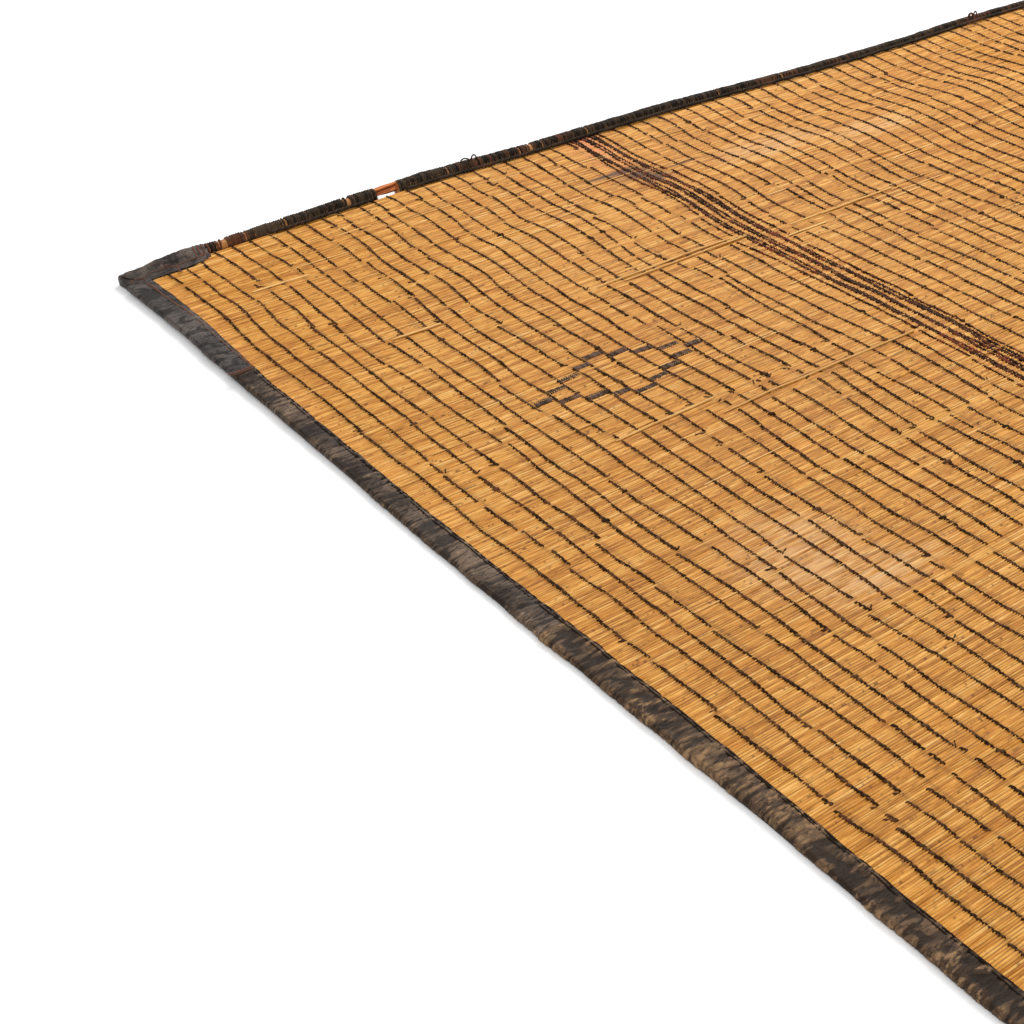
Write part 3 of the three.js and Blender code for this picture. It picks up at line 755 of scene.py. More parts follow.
# Stalks that the rows miss: their place across, where they start and end, and which stand proud.
looseStalks = {
    "across": [0.052, 0.139, 0.146, 0.310, 0.338, 0.379, 0.388, 0.398, 0.420, 0.449,
               0.668, 0.676, 0.698, 0.705, 0.846, 1.038, 0.520, 1.223],
    "from": [0.275, 0.105, 0.110, 0.460, 0.180, 0.450, 0.500, 0.780, 0.755, 0.555,
             0.250, 0.300, 0.380, 0.430, 0.450, 0.200, 0.900, 0.060],
    "to": [0.600, 0.190, 0.270, 1.020, 0.262, 0.690, 0.720, 0.985, 0.835, 0.610,
           0.400, 0.520, 0.700, 0.600, 0.730, 0.490, 1.120, 0.170],
    "raised": [0, 1, 0, 0, 1, 1, 1, 1, 1, 0, 1, 0, 1, 0, 0, 0, 0, 0],
}
# Short loose ends all over the sheet.
strayEnds = {"count": 520, "length": (0.03, 0.16), "lift": (-0.0002, 0.0007), "radius": (0.0009, 0.0012)}


# Stretches across the mat where this row has no thong.
def rowBreaks(index, rng):
    along = rows[index][0]
    found = []
    at = rng.uniform(0.02, twine["breakEvery"])
    while at < mat["width"] - 0.03:
        length = rng.uniform(*twine["breakLength"])
        found.append((at, at + length))
        at += length + rng.exponential(twine["breakEvery"]) + 0.02
    for i, across in enumerate(looseStalks["across"]):
        if looseStalks["from"][i] - 0.01 < along < looseStalks["to"][i] + 0.01 and rng.random() < 0.85:
            found.append((across - 0.0035, across + 0.0035))
    return found


# Where the turns of one row sit, how each is turned, and its size.
def rowPoints(index, seed, offset, slant, broken):
    rng = np.random.default_rng(seed)
    start = sideOutline(rows[index][0]) + 0.002
    end = mat["width"] - sideOutline(mat["length"] - rows[index][0]) - 0.002
    across = np.arange(start, end, twine["pitch"])
    across = across + rng.uniform(-0.0004, 0.0004, len(across))
    kept = np.ones(len(across), bool)
    step = np.zeros(len(across))
    tails = []
    for low, high in rowBreaks(index, rng) if broken else []:
        kept &= (across < low) | (across > high)
        jog = np.where(across > high, rng.normal(0, twine["sideStep"]), 0)
        step += jog * np.exp(-(across - high).clip(0) / twine["jogLength"])
        if rng.random() < 0.5:
            tails.append((low - 0.002, rng.choice([-1, 1])))
    fine = softNoise(across, 0.055, seed + 11) * twine["wander"]
    fine = fine + softNoise(across, 0.017, seed + 12) * 0.0007
    along = rowAlong(index, across) + step + fine + offset
    along, across = along[kept], across[kept]
    z = underside(along, across) + mat["thickness"] - 0.0002
    points = place(along, across, z)
    lean = slant * twine["slant"] + rng.normal(0, 0.07, len(points))
    thick = 1.0 + 0.13 * softNoise(across, 0.03, seed + 13)
    knots = rng.random(len(points)) < twine["pitch"] / twine["knotEvery"]
    thick = np.where(knots & broken, twine["knotSize"], thick)
    lean = np.where(knots & broken, lean + rng.uniform(0.2, 1.2, len(points)), lean)
    turns = np.stack([0 * lean, 0 * lean, lean], -1)
    flat = (twine["turnWidth"], twine["turnLength"]) if broken else twine["bandTurn"]
    base = np.array([*flat, twine["turnHeight"]])
    sizes = base * thick[:, None]
    for at, side in tails:
        x = float(rowAlong(index, at)) + side * 0.0035
        points = np.vstack([points, place(x, at, underside(x, at) + mat["thickness"])])
        turns = np.vstack([turns, [0.0, 0.0, side * rng.uniform(-1.3, -0.6)]])
        sizes = np.vstack([sizes, [0.0016, rng.uniform(0.003, 0.006), 0.0016]])
    return points, turns, sizes


def buildRows(name, indexes, look, seed):
    points, turns, sizes = [], [], []
    for index in indexes:
        thick = rows[index][1]
        for offset, slant in ((-0.0024, 1.0), (0.0024, -1.0)) if thick else ((0.0, 1.0),):
            found = rowPoints(index, seed + index * 7 + (3 if offset > 0 else 0), offset, slant, not thick)
            for whole, part in zip((points, turns, sizes), found):
                whole.append(part)
    return setTurns(name, np.vstack(points), np.vstack(turns), np.vstack(sizes), look, seed)


bandLeft = [i for i in bandAt if rows[i][0] < mat["length"] / 2]
bandRight = [i for i in bandAt if rows[i][0] > mat["length"] / 2]
rowPieces = [
    buildRows("twine_left", range(0, bandLeft[0]), twineLook, 100),
    buildRows("twine_band_left", bandLeft, bandLook, 2100),
    buildRows("twine_middle", range(bandLeft[-1] + 1, bandRight[0]), twineLook, 3100),
    buildRows("twine_band_right", bandRight, bandLook, 5100),
    buildRows("twine_right", range(bandRight[-1] + 1, len(rows)), twineLook, 6100),
]
clock("twined rows")


# The stepped lozenges, each bar a gap between two rows wrapped in thong.
lozenge = {
    "after": 0.325,
    "across": 0.555,
    "steps": 4,
    "stepAcross": 0.0121,
    "wraps": 9,
    "inset": 0.0022,  # a bar ends this far short of a row's middle
    "halfWidth": 0.0047,
    "height": 0.0024,
}


def buildLozenges():
    rng = np.random.default_rng(mat["seed"] + 5)
    middle = next(i for i, (at, _) in enumerate(rows) if at > lozenge["after"])
    points, turns, sizes = [], [], []
    for mirrorAlong in (False, True):
        for mirrorAcross in (False, True):
            for step in range(-lozenge["steps"], lozenge["steps"] + 1):
                rise = (lozenge["steps"] - abs(step)) * lozenge["stepAcross"]
                for across in sorted({lozenge["across"] - rise, lozenge["across"] + rise}):
                    across = mat["width"] - across if mirrorAcross else across
                    first = middle + step
                    first = len(rows) - 2 - first if mirrorAlong else first
                    low = float(rowAlong(first, across)) + lozenge["inset"]
                    high = float(rowAlong(first + 1, across)) - lozenge["inset"]
                    tilt = rng.normal(0, 0.04)
                    for along in np.linspace(low, high, lozenge["wraps"]):
                        shifted = across + tilt * (along - low) + rng.normal(0, 0.0002)
                        z = float(underside(along, shifted)) + mat["thickness"] - 0.0004
                        points.append(place(along, shifted, z))
                        turns.append((0.0, 0.0, rng.normal(0.12, 0.05)))
                        sizes.append((0.0034, lozenge["halfWidth"], lozenge["height"]))
    return setTurns("lozenges", np.array(points), np.array(turns), np.array(sizes), barLook, 77, 0.08)


lozenges = buildLozenges()
clock("lozenges")


def buildLooseStalks():
    rng = np.random.default_rng(mat["seed"] + 9)
    lines = []

    def addStalk(across, start, end, lift, radius, tone):
        along = np.arange(start, end, 0.014)
        way = across + softNoise(along, 0.09, int(rng.integers(1, 9999))) * 0.0016
        z = underside(along, way) + mat["thickness"] + lift
        z = z + 0.0006 * softNoise(along, 0.05, int(rng.integers(1, 9999)))
        radii = radius * np.clip(np.minimum(along - start, end - along) / 0.01 + 0.45, 0.45, 1)
        lines.append((place(along, way, z), radii, tone))

    for i, across in enumerate(looseStalks["across"]):
        if looseStalks["raised"][i]:
            start, end = looseStalks["from"][i], looseStalks["to"][i]
            addStalk(across, start, end, 0.0014, 0.0015, rng.uniform(0.35, 1.0))
    for _ in range(strayEnds["count"]):
        length = rng.uniform(*strayEnds["length"])
        start = rng.uniform(0.03, mat["length"] - 0.03 - length)
        across = rng.uniform(0.02, mat["width"] - 0.02)
        lift, radius = rng.uniform(*strayEnds["lift"]), rng.uniform(*strayEnds["radius"])
        addStalk(across, start, start + length, lift, radius, rng.random())
    return drawStrands("loose_stalks", lines, looseLook, 4)


looseStalkPiece = buildLooseStalks()
clock("loose stalks")


# Folded leather over the stalk ends.
binding = {
    "names": ["1", "2", "3"],
    "from": [0.0360, 0.3035, 0.8785],
    "to": [0.3065, 0.8815, 1.9655],
    "look": ["blue", "grey", "mottled"],
    "creaseGrain": [0.0085, 0.0044, 0.0058],
    "creaseRun": [0.6, 1.1, 0.7],  # how far a crease runs round the fold
    "creaseWidth": [0.20, 0.24, 0.22],
    "creaseDepth": [0.0010, 0.0013, 0.0012],
    "creaseLean": [0.012, 0.004, 0.010],
    "lumpRise": [0.0009, 0.0012, 0.0017],
    "station": 0.0018,
}
bindingEdge = {
    "across": [0, 0.15, 0.26, 0.345, 0.52, 0.64, 0.88, 1.05, 1.2, 1.35, 1.6, 1.8, 2.0],
    "fold": [3, 2.2, 4.5, 2.2, 2.4, 4, 5, 3, 2.2, 4.6, 2.6, 4.4, 2.6],
    "lip": [32, 32, 27, 25, 25, 25, 28, 30, 27, 25, 28, 27, 27],
}


# The fold starts and ends at these shares of the way from the top lip to the lower one.
foldStart, foldEnd = 0.46, 0.66


# The leather's outer face from its top lip round the fold: shares of lip, fold and height.
def foldSection(share):
    arc = np.clip((share - foldStart) / 0.2, 0, 1) * np.pi
    above = np.where(share < foldStart, 1 - share / foldStart, 0)
    below = np.where(share > foldEnd, (share - foldEnd) / 0.34 * 0.85, 0)
    return above + below, np.sin(arc), np.cos(arc)


def buildStrip(name, which, mirrored):
    start, end = binding["from"][which], binding["to"][which]
    across = np.arange(start, end + 1e-6, binding["station"])[:, None]
    shares = [np.linspace(0, foldStart, 12), np.linspace(0.48, foldEnd, 6), np.linspace(0.7, 1.0, 4)]
    shares = np.concatenate(shares)
    seed = 700 + which * 31 + (500 if mirrored else 0)
    edge = millimetres(stalkEnds, "across", across, "end") - 0.0003
    fold = millimetres(bindingEdge, "across", across, "fold") + softNoise(across, 0.03, seed) * 0.0006
    lip = millimetres(bindingEdge, "across", across, "lip")
    lip = lip + softNoise(across, 0.022, seed + 1) * 0.0012
    low = millimetres(endLift, "across", across, "lift")
    reach, outward, upward = foldSection(shares)
    half = mat["thickness"] / 2 + mat["leather"] + 0.0004
    grain, run = binding["creaseGrain"][which], binding["creaseRun"][which]
    leaning = across + shares * binding["creaseLean"][which]
    leaning = leaning + 0.003 * softField(across, shares, 0.025, 0.3, seed + 6)
    valleys = 0
    for layer, fine in enumerate((1, 0.6)):
        waves = softField(leaning, shares, grain * fine, run * fine, seed + 2 + layer)
        valleys = valleys + np.exp(-((waves / binding["creaseWidth"][which]) ** 2)) * fine
    lumps = softField(across, shares, 0.035, 0.3, seed + 4)
    # The ridge value also colours the leather: painted shade in the valleys, and a painted highlight on the
    # high parts.
    ridge = 1 - 1.1 * valleys + 0.5 * lumps
    taper = np.clip(shares / 0.06, 0, 1)
    relief = (binding["lumpRise"][which] * (0.4 + lumps) - binding["creaseDepth"][which] * valleys) * taper
    relief[:, shares > 0.6] *= 0.2
    relief = np.maximum(relief, -0.0009)
    along = edge + reach * lip - (outward * (fold + relief * 0.5))
    crown = 0.0005 * np.sin(np.clip(shares / foldStart, 0, 1) * np.pi) * (shares < foldStart)
    z = low + mat["thickness"] / 2 + upward * (half + relief) + crown
    z = np.where(shares < 0.03, z - 0.0009, z)
    z = np.maximum(z, 0.0001)
    outer = place(along, across, z)
    innerZ = low + mat["thickness"] / 2 + upward * (mat["thickness"] / 2 + 0.0003)
    inner = place(edge + reach * lip, across, np.minimum(innerZ, z + 0.004))[:, ::3]
    ring = np.concatenate([outer, inner[:, ::-1]], 1)
    points = ring.reshape(-1, 3)
    index = np.arange(len(points)).reshape(ring.shape[:2])
    nextRound = np.roll(index, -1, 1)
    quads = np.stack([index[:-1], index[1:], nextRound[1:], nextRound[:-1]], -1).reshape(-1, 4).tolist()
    quads += [index[0].tolist(), index[-1, ::-1].tolist()]
    if mirrored:
        points = points * np.array([-1, 1, 1])
        quads = [q[::-1] for q in quads]
    # The inner face gets ridge 0, so it takes the painted shade colour nearly in full.
    ridges = np.concatenate([ridge, 0 * inner[:, :, 0]], 1).ravel()
    made = makeMesh(name, points, quads, {"ridge": ridges})
    made.data.materials.append(leathers[binding["look"][which]])
    return made


strips = {}
for which, label in enumerate(binding["names"]):
    strips[f"binding_left_{label}"] = buildStrip(f"leather_left_{label}", which, False)
    strips[f"binding_right_{label}"] = buildStrip(f"leather_right_{label}", which, True)
clock("leather bindings")


# Rolls along the sides: a bundle inside, and thong wound round it turn by turn.
wrapping = {
    "pitch": 0.0033,
    "thick": 0.0019,
    "pointsPerTurn": 6,
    "bundleShare": 0.79,
    "bundleStation": 0.012,
    "slack": 0.0003,
    "lumps": 0.0005,
    "brown": (0.143, 0.230),  # a stretch of paler thong on the back roll
}
bareCore = {"from": 0.3765, "to": 0.4165, "share": 0.52, "outwards": 0.0025, "upwards": 0.0025, "stalks": 34}
# Places on the back roll where the turns stand apart and the bundle shows.
wrapGaps = {
    "at": [0.133, 0.170, 0.229, 0.326, 0.496, 0.618, 0.636, 0.660, 0.742, 1.000, 1.130, 1.560],
    "width": [0.009, 0.002, 0.003, 0.007, 0.002, 0.003, 0.006, 0.003, 0.003, 0.003, 0.003, 0.004],
}


# Centre line and radius of a side roll.
def rollLine(along, inFront):
    source = mat["length"] - along if inFront else along
    radius = millimetres(roll, "along", source, "radius")
    out = millimetres(roll, "along", source, "centre")
    across = mat["width"] + out if inFront else -out
    return across, radius


def windHelix(start, end, inFront, gaps, seed):
    rng = np.random.default_rng(seed)
    places = [start]
    while places[-1] < end:
        step = wrapping["pitch"] * rng.uniform(0.88, 1.12)
        for i, at in enumerate(gaps["at"]):
            if abs(places[-1] - at) < wrapping["pitch"] / 2:
                step += gaps["width"][i]
        places.append(places[-1] + step)
    turnsDone = np.arange(len(places))
    t = np.arange(0, turnsDone[-1], 1 / wrapping["pointsPerTurn"])
    along = np.interp(t, turnsDone, places)
    across, radius = rollLine(along, inFront)

    def perTurn(values):
        return np.repeat(values, wrapping["pointsPerTurn"])[: len(t)]

    slack = perTurn(rng.uniform(-0.5, 1.0, len(places))) * wrapping["slack"]
    reach = radius - wrapping["thick"] * 0.75 + slack + wrapping["lumps"] * softNoise(along, 0.02, seed)
    angle = -2 * np.pi * t if inFront else 2 * np.pi * t
    y = across + reach * np.cos(angle)
    z = np.maximum(radius + reach * np.sin(angle), wrapping["thick"])
    brown = (along > wrapping["brown"][0]) & (along < wrapping["brown"][1]) & (not inFront)
    tone = perTurn(0.85 * rng.random(len(places))) + 0.5 * brown
    return place(along, y, z), wrapping["thick"], tone


def bundleTube(start, end, inFront):
    station = wrapping["bundleStation"]
    along = np.arange(start, end + station / 2, station)
    across, radius = rollLine(along, inFront)
    return place(along, across, radius), radius * wrapping["bundleShare"], 0.4


noGaps = {"at": [], "width": []}
wraps = {}
for side, start, end, inFront, gaps, seed in (
    ("back_1", 0.1125, bareCore["from"], False, wrapGaps, 21),
    ("back_2", bareCore["to"], 2.8725, False, wrapGaps, 22),
    ("front", 0.0960, 2.9040, True, noGaps, 23),
):
    helix = windHelix(start, end, inFront, gaps, seed)
    wraps[f"wrap_{side}"] = drawStrands(f"coil_{side}", [helix], wrapLook, 4)
bundles = drawStrands("roll_bundles", [
    bundleTube(0.10, bareCore["from"] + 0.001, False),
    bundleTube(bareCore["to"] - 0.001, 2.90, False),
    bundleTube(0.09, 2.91, True),
], tanLook, 12)


# The stretch where the wrapping is gone: a handful of dyed stalks.
def buildBareCore():
    rng = np.random.default_rng(mat["seed"] + 15)
    lines = []
    for _ in range(bareCore["stalks"]):
        angle = rng.uniform(0, 2 * np.pi)
        depth = math.sqrt(rng.uniform(0.05, 1))
        along = np.linspace(bareCore["from"] - 0.005, bareCore["to"] + 0.005, 8)
        across, radius = rollLine(along, False)
        reach = radius * bareCore["share"] * depth
        sway = rng.normal(0, 0.0004, 8)
        turn = angle + 14 * (along - bareCore["from"])
        y = across - bareCore["outwards"] + reach * np.cos(turn) + sway
        z = radius + bareCore["upwards"] + reach * np.sin(turn)
        lines.append((place(along, y, z), 0.0014, rng.random()))
    return drawStrands("core_stalks", lines, coreLook, 6)


coreStalks = buildBareCore()


# The thinner cord beside a roll: two plies twisted together.
cordLook = {"station": 0.0026, "twist": 0.0105, "ply": 0.0014, "thick": 0.0019}


def windCord(start, end, inFront, seed):
    rng = np.random.default_rng(seed)
    along = np.arange(start, end, cordLook["station"])
    across, radius = rollLine(along, inFront)
    inward = -1 if inFront else 1
    centre = across + inward * (radius + 0.0040)
    height = radius + mat["thickness"] / 2 - sheetBelowRollMiddle + 0.0005 + 0.0032
    height = height + 0.0004 * softNoise(along, 0.05, seed)
    lines = []
    for ply in (0, np.pi):
        angle = along / cordLook["twist"] * 2 * np.pi + ply
        y = centre + cordLook["ply"] * np.cos(angle)
        z = height + cordLook["ply"] * np.sin(angle)
        tone = 0.35 + 0.25 * softNoise(along, 0.02, seed + 1) + rng.uniform(0, 0.2)
        lines.append((place(along, y, z), cordLook["thick"], tone))
    return lines


# Ends of winding thong that stand off the back roll: two loops and a knot.
strayThongs = {
    "at": [0.531, 0.5465, 1.589, 1.600],
    "high": [0.0045, 0.0065, 0.0050, 0.0065],
    "wide": [0.012, 0.006, 0.006, 0.002],
    "thick": [0.0011, 0.0012, 0.0020, 0.0013],
    "tone": [0.3, 0.3, 0.9, 0.9],
}


def buildStrayThongs():
    lines = []
    for i, at in enumerate(strayThongs["at"]):
        turn = np.linspace(-0.4, math.pi + 0.4, 12)
        along = at + strayThongs["wide"][i] * np.cos(turn) / 2
        across, radius = rollLine(at, False)
        z = 2 * radius - 0.0006 + strayThongs["high"][i] * np.sin(turn)
        way = place(along, across + 0.002 * np.cos(turn), np.maximum(z, radius))
        lines.append((way, strayThongs["thick"][i], strayThongs["tone"][i]))
    return drawStrands("stray_thongs", lines, wrapLook, 5)


strayThongPiece = buildStrayThongs()
cords = {}
for side, start, end, inFront, seed in (
    ("back_1", 0.205, bareCore["from"] - 0.008, False, 31),
    ("back_2", bareCore["to"] + 0.006, 2.850, False, 32),
    ("front", 0.140, 2.860, True, 33),
):
    plies = windCord(start, end, inFront, seed)
    cords[f"cord_{side}"] = drawStrands(f"side_cord_{side}", plies, wrapLook, 4)
clock("side rolls")


# Leather caps over the corners.
liftedCap = {
    "along": [-10.5, -7, 2, 26, 45, 65, 80, 97, 113],
    "back": [-5, -3, -1, 1, 3, 4.5, 5, 5, 5],
    "front": [-30, -34, -36, -36, -35, -35, -34, -30, -22],
    "hump": [13, 13.3, 13.6, 14.6, 18, 20, 19.5, 19.3, 19],
}
flatCap = {
    "along": [-19, -14, 2, 30, 62, 96],
    "back": [-5, -4, -1, 1.5, 2.5, 2.5],
    "front": [-28, -33, -35, -34.7, -30, -22],
    "hump": [9.8, 10.2, 12, 16, 19, 19],
}
capLook = {"stations": 70, "around": 48, "slot": 0.0137, "crease": 0.0007, "lump": 0.0009}


# The cap's outer face at one station, from its front lip over the hump to the underside.
def capRing(table, along, inFront):
    at = along * 1000
    back = -np.interp(at, table["along"], table["back"]) * 0.001
    front = -np.interp(at, table["along"], table["front"]) * 0.001
    hump = np.interp(at, table["along"], table["hump"]) * 0.001
    edge = mat["width"] - capLook["slot"] if inFront else capLook["slot"]
    low = float(underside(max(along, 0), edge))
    top = low + mat["thickness"]
    crest = max(hump, top + 0.0033)
    shoulder = min(capLook["slot"] - 0.003, back + 0.016)
    drop = low - 0.0023
    return [
        (front, top + 0.0008),
        (front - 0.0006, top + 0.0024),
        (capLook["slot"] + 0.003, top + 0.0033),
        (shoulder + 0.001, max(crest - 0.003, top + 0.0034)),
        ((shoulder + back) / 2, crest),
        (back + 0.0022, hump * 0.86 + 0.0008),
        (back, hump * 0.5 + 0.001),
        (back + 0.002, min(drop, 0.0015) + 0.0012),
        ((shoulder + back) / 2, min(drop, 0.0004) + 0.0002),
        (shoulder + 0.002, min(drop, 0.0010) + 0.0002),
        (front - 0.002, drop + 0.0002),
        (front - 0.0005, low + 0.0004),
    ]


# Even points along a smooth closed curve through the given ones.
def roundRing(ring, count):
    ring = np.array(ring)
    n = len(ring)
    fine = []
    for i in range(n):
        a, b, c, d = ring[i - 1], ring[i], ring[(i + 1) % n], ring[(i + 2) % n]
        for t in np.linspace(0, 1, 8, endpoint=False):
            square, cube = (2 * a - 5 * b + 4 * c - d) * t**2, (3 * b - a - 3 * c + d) * t**3
            curve = 0.5 * (2 * b + (c - a) * t + square + cube)
            straight = b + (c - b) * t
            fine.append(straight + (curve - straight) * 0.8)
    fine = np.array(fine + [fine[0]])
    length = np.concatenate([[0], np.cumsum(np.hypot(*np.diff(fine, axis=0).T))])
    at = np.linspace(0, length[-1], count, endpoint=False)
    return np.stack([np.interp(at, length, fine[:, 0]), np.interp(at, length, fine[:, 1])], -1)


def buildCap(name, table, inFront, onRight, seed):
    low, high = table["along"][0] * 0.001, table["along"][-1] * 0.001
    along = np.linspace(low, high, capLook["stations"])
    rings = np.array([roundRing(capRing(table, a, inFront), capLook["around"]) for a in along])
    along = along[:, None]
    centre = rings.mean(1, keepdims=True)
    out = rings - centre
    out = out / np.linalg.norm(out, axis=2, keepdims=True)
    around = np.arange(capLook["around"]) / capLook["around"]
    valleys = 0
    for layer, fine in enumerate((1, 0.5)):
        waves = softField(along + 0.02 * around, around, 0.010 * fine, 0.13 * fine, seed + layer)
        valleys = valleys + np.exp(-((waves / 0.22) ** 2)) * fine
    lumps = softField(along, around, 0.022, 0.12, seed + 5)
    rings = rings + out * (capLook["lump"] * lumps - capLook["crease"] * valleys)[..., None]
    # As on the strips, the ridge value paints shade into the valleys and a highlight onto the high parts.
    ridge = 1 - valleys + 0.5 * lumps
    rings[..., 1] = np.maximum(rings[..., 1], 0.0001)
    across = mat["width"] - rings[..., 0] if inFront else rings[..., 0]
    points = place(along, across, rings[..., 1])
    index = np.arange(across.size).reshape(across.shape)
    nextRound = np.roll(index, -1, 1)
    quads = np.stack([index[:-1], nextRound[:-1], nextRound[1:], index[1:]], -1).reshape(-1, 4).tolist()
    quads += [index[0, ::-1].tolist(), index[-1].tolist()]
    points = points.reshape(-1, 3)
    if onRight:
        points = points * np.array([-1, 1, 1])
    if onRight != inFront:
        quads = [q[::-1] for q in quads]
    made = makeMesh(name, points, quads, {"ridge": ridge.ravel()})
    made.data.materials.append(leathers["cap"])
    return made


caps = {}
for side, table, inFront, onRight, seed in (
    ("left_back", liftedCap, False, False, 81),
    ("right_back", liftedCap, False, True, 83),
    ("left_front", flatCap, True, False, 85),
    ("right_front", flatCap, True, True, 87),
):
    caps[f"cap_{side}"] = buildCap(f"leather_cap_{side}", table, inFront, onRight, seed)
clock("corner caps")


# Sewing along the lips of the leather: a long running stitch on the first strip, and short dark
# stitches close to the lip all along.
sewing = {
    "from": [0.040, 0.045, 0.300, 0.880, 0.310],
    "to": [0.300, 0.298, 0.880, 1.960, 1.960],
    "stitch": [0.040, 0.011, 0.009, 0.014, 0.050],
    "space": [-0.012, 0.003, 0.002, 0.003, -0.012],  # below nothing, stitches overlap
    "thick": [0.0009, 0.0007, 0.0009, 0.0009, 0.0007],
    "insetFrom": [0.0115, 0.0018, 0.0022, 0.0022, 0.0052],
    "insetTo": [0.0035, 0.0018, 0.0022, 0.0022, 0.0058],
    "tone": [0.8, 0.5, 0.1, 0.1, -0.1],
    "joint": [0.3020, 0.3050, 0.3085],  # thongs round the joint of two strips
}


# Threads over the lifted corner, each as along and across of its points: along the cap's lip and
# loose into the straw, over the fold's open tip, down onto the first strip, and across the cap's end.
cornerThreads = [
    [(0.007, 0.030), (0.024, 0.023), (0.043, 0.022), (0.061, 0.023), (0.080, 0.021), (0.096, 0.019),
     (0.108, 0.016)],
    [(0.041, 0.020), (0.050, 0.016), (0.057, 0.018), (0.062, 0.027), (0.060, 0.037), (0.058, 0.046)],
    [(-0.009, 0.034), (-0.004, 0.030), (0.002, 0.027), (0.008, 0.025)],
    [(0.013, 0.030), (0.011, 0.040), (0.009, 0.052), (0.010, 0.064), (0.013, 0.076)],
    [(0.098, -0.001), (0.097, 0.006), (0.096, 0.013), (0.094, 0.018)],
    [(0.104, -0.002), (0.103, 0.006), (0.102, 0.013), (0.101, 0.019)],
    [(0.110, -0.002), (0.109, 0.006), (0.108, 0.013), (0.107, 0.018)],
]
# A dark strand laid in the fold's open tip at the corner: painted shade in the slit.
foldSlitShade = [(-0.0085, 0.004), (-0.007, 0.011), (-0.0045, 0.017), (-0.001, 0.022), (0.004, 0.026)]


# The upper face of all leather, to lay threads on.
def makeSkin(pieces):
    points, polygons = [], []
    for piece in pieces:
        first = len(points)
        points += [v.co.copy() for v in piece.data.vertices]
        polygons += [[first + i for i in f.vertices] for f in piece.data.polygons]
    return BVHTree.FromPolygons(points, polygons)


def layOn(skin, way, lift, side):
    laid = []
    for along, across in way:
        spot = Vector(place(along, across, 0.0) * side)
        hit = skin.ray_cast(spot + Vector((0, 0, 0.3)), Vector((0, 0, -1)))[0]
        height = hit.z if hit else laid[-1][2] if laid else 0.006
        laid.append((spot.x, spot.y, height + lift))
    return np.array(laid)


def lipAlong(across):
    end = millimetres(stalkEnds, "across", across, "end")
    return end + millimetres(bindingEdge, "across", across, "lip")


def buildSewing():
    rng = np.random.default_rng(mat["seed"] + 21)
    skin = makeSkin([*strips.values(), *caps.values()])
    lines = []
    for mirrored in (False, True):
        side = np.array([-1 if mirrored else 1, 1, 1])
        for i, at in enumerate(sewing["from"]):
            while at < sewing["to"][i]:
                length = sewing["stitch"][i] * rng.uniform(0.7, 1.5)
                across = np.linspace(at, min(at + length, sewing["to"][i]), 5)
                share = (across - sewing["from"][i]) / (sewing["to"][i] - sewing["from"][i])
                inset = sewing["insetFrom"][i] * (1 - share) + sewing["insetTo"][i] * share
                inset = inset + 0.0008 * softNoise(across, 0.03, i) + rng.normal(0, 0.0004)
                laid = layOn(skin, zip(lipAlong(across) - inset, across), 0.0002, side)
                laid[[0, -1], 2] -= 0.0012
                lines.append((laid, sewing["thick"][i], sewing["tone"][i] + rng.uniform(-0.15, 0.15)))
                at += length + sewing["space"][i] * rng.uniform(0.6, 1.5)
        for across in sewing["joint"]:
            insets = np.linspace(-0.001, 0.0345, 9)
            way = [(lipAlong(across) - inset, across + rng.normal(0, 0.0005)) for inset in insets]
            lines.append((layOn(skin, way, 0.0006, side), 0.0010, rng.uniform(0.5, 1.0)))
        for way in cornerThreads:
            fine = np.linspace(0, len(way) - 1, 3 * len(way))
            way = [np.interp(fine, range(len(way)), column) for column in zip(*way)]
            for shift in (0.0, 0.0011):
                sway = shift * np.cos(fine * 2.2) + rng.normal(0, 0.0002, len(fine))
                laid = layOn(skin, zip(way[0] + sway, way[1] + sway), 0.0003, side)
                lines.append((laid, 0.0006, rng.uniform(0.5, 0.9)))
        # The fold's slit, drawn as a dark strand of painted shade.
        lines.append((layOn(skin, foldSlitShade, -0.0003, side), [0.0008, 0.0013, 0.0013, 0.0010, 0.0005], -0.5))
    return drawStrands("edge_sewing", lines, threadLook, 5)


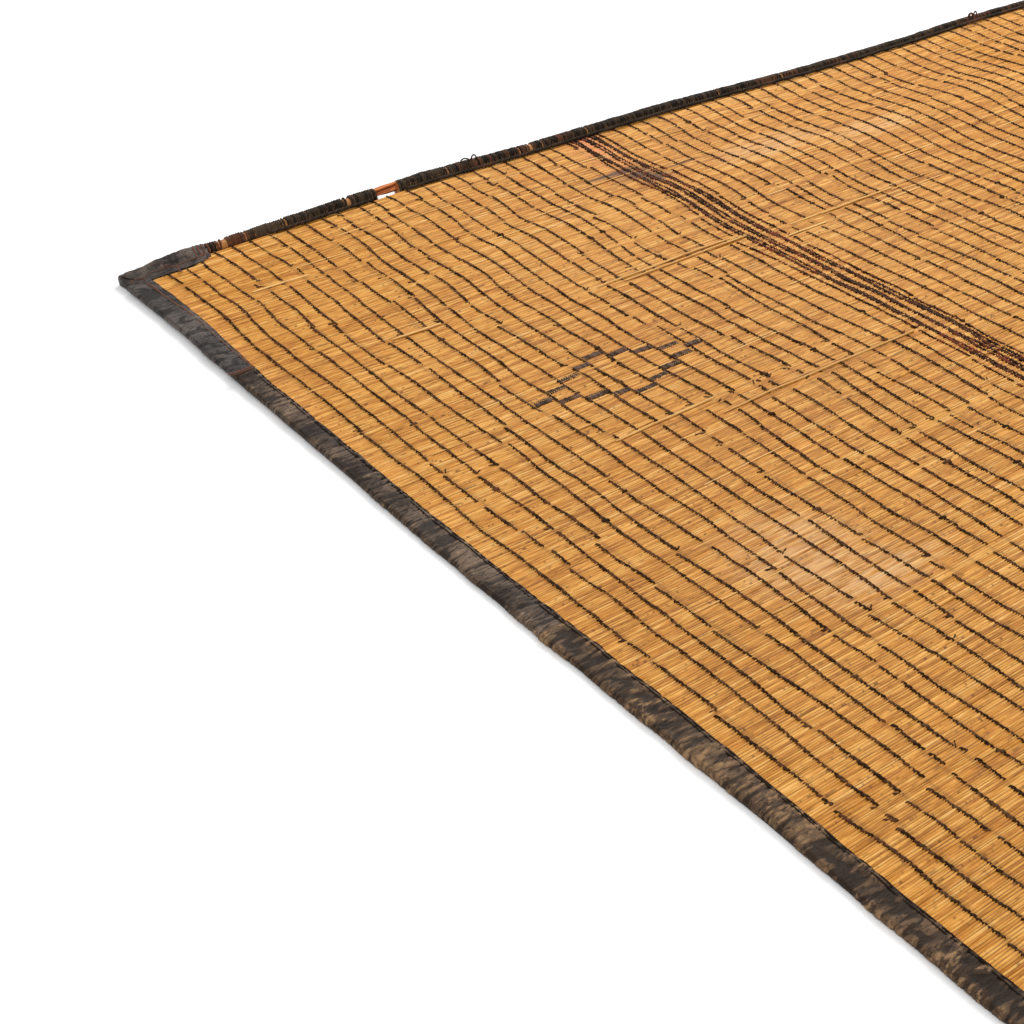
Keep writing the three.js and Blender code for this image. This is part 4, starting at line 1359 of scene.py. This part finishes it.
edgeSewing = buildSewing()
clock("sewing")

bpy.data.objects.remove(form)


# Floor, light and background.
def addFloor():
    points = [(-9, -9, 0), (9, -9, 0), (9, 9, 0), (-9, 9, 0)]
    floor = makeMesh("floor", points, [[0, 1, 2, 3]], smooth=False)
    material, tree, shader = newMaterial("paleFloor")
    shader.inputs["Base Color"].default_value = (0.93, 0.93, 0.93, 1)
    shader.inputs["Roughness"].default_value = 0.9
    floor.data.materials.append(material)


lamps = {
    "soft": {"place": (1.6, 2.4, 3.2), "size": 2.6, "power": 150},
    "fill": {"place": (-3.5, -2.5, 3.0), "size": 3.5, "power": 80},
}
lampAim = (-0.6, 0.3, 0)


def addLights():
    world = bpy.data.worlds.new("studio")
    world.use_nodes = True
    background = world.node_tree.nodes["Background"]
    background.inputs["Color"].default_value = (1, 1, 1, 1)
    background.inputs["Strength"].default_value = 0.75
    bpy.context.scene.world = world
    for name, look in lamps.items():
        data = bpy.data.lights.new(name, "AREA")
        data.size = look["size"]
        data.energy = look["power"]
        lamp = bpy.data.objects.new(name, data)
        lamp.location = look["place"]
        aim = Vector(lampAim) - Vector(look["place"])
        lamp.rotation_euler = aim.to_track_quat("-Z", "Y").to_euler()
        bpy.context.collection.objects.link(lamp)


addFloor()
addLights()
bpy.context.scene.view_settings.view_transform = "Standard"
clock("floor and lights")


# Hide the imported parts that these pieces stand for, and attach each piece to the root body.
for half in (stalksLeft, stalksRight):
    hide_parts("field")
for node, piece in {**wraps, **cords}.items():
    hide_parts(node)
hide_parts("core_back")
for node, piece in strips.items():
    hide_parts(node)
for node, piece in caps.items():
    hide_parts(node)

pieces = [stalksLeft, stalksRight, *rowPieces, lozenges, looseStalkPiece, *strips.values(), *wraps.values(),
          bundles, coreStalks, *cords.values(), *caps.values(), edgeSewing, strayThongPiece]
for piece in pieces:
    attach(piece, "root")

triangles = {piece.name: sum(len(f.vertices) - 2 for f in piece.data.polygons) for piece in pieces}
clock(f"{sum(triangles.values())} triangles, at most {max(triangles.values())} in a piece")
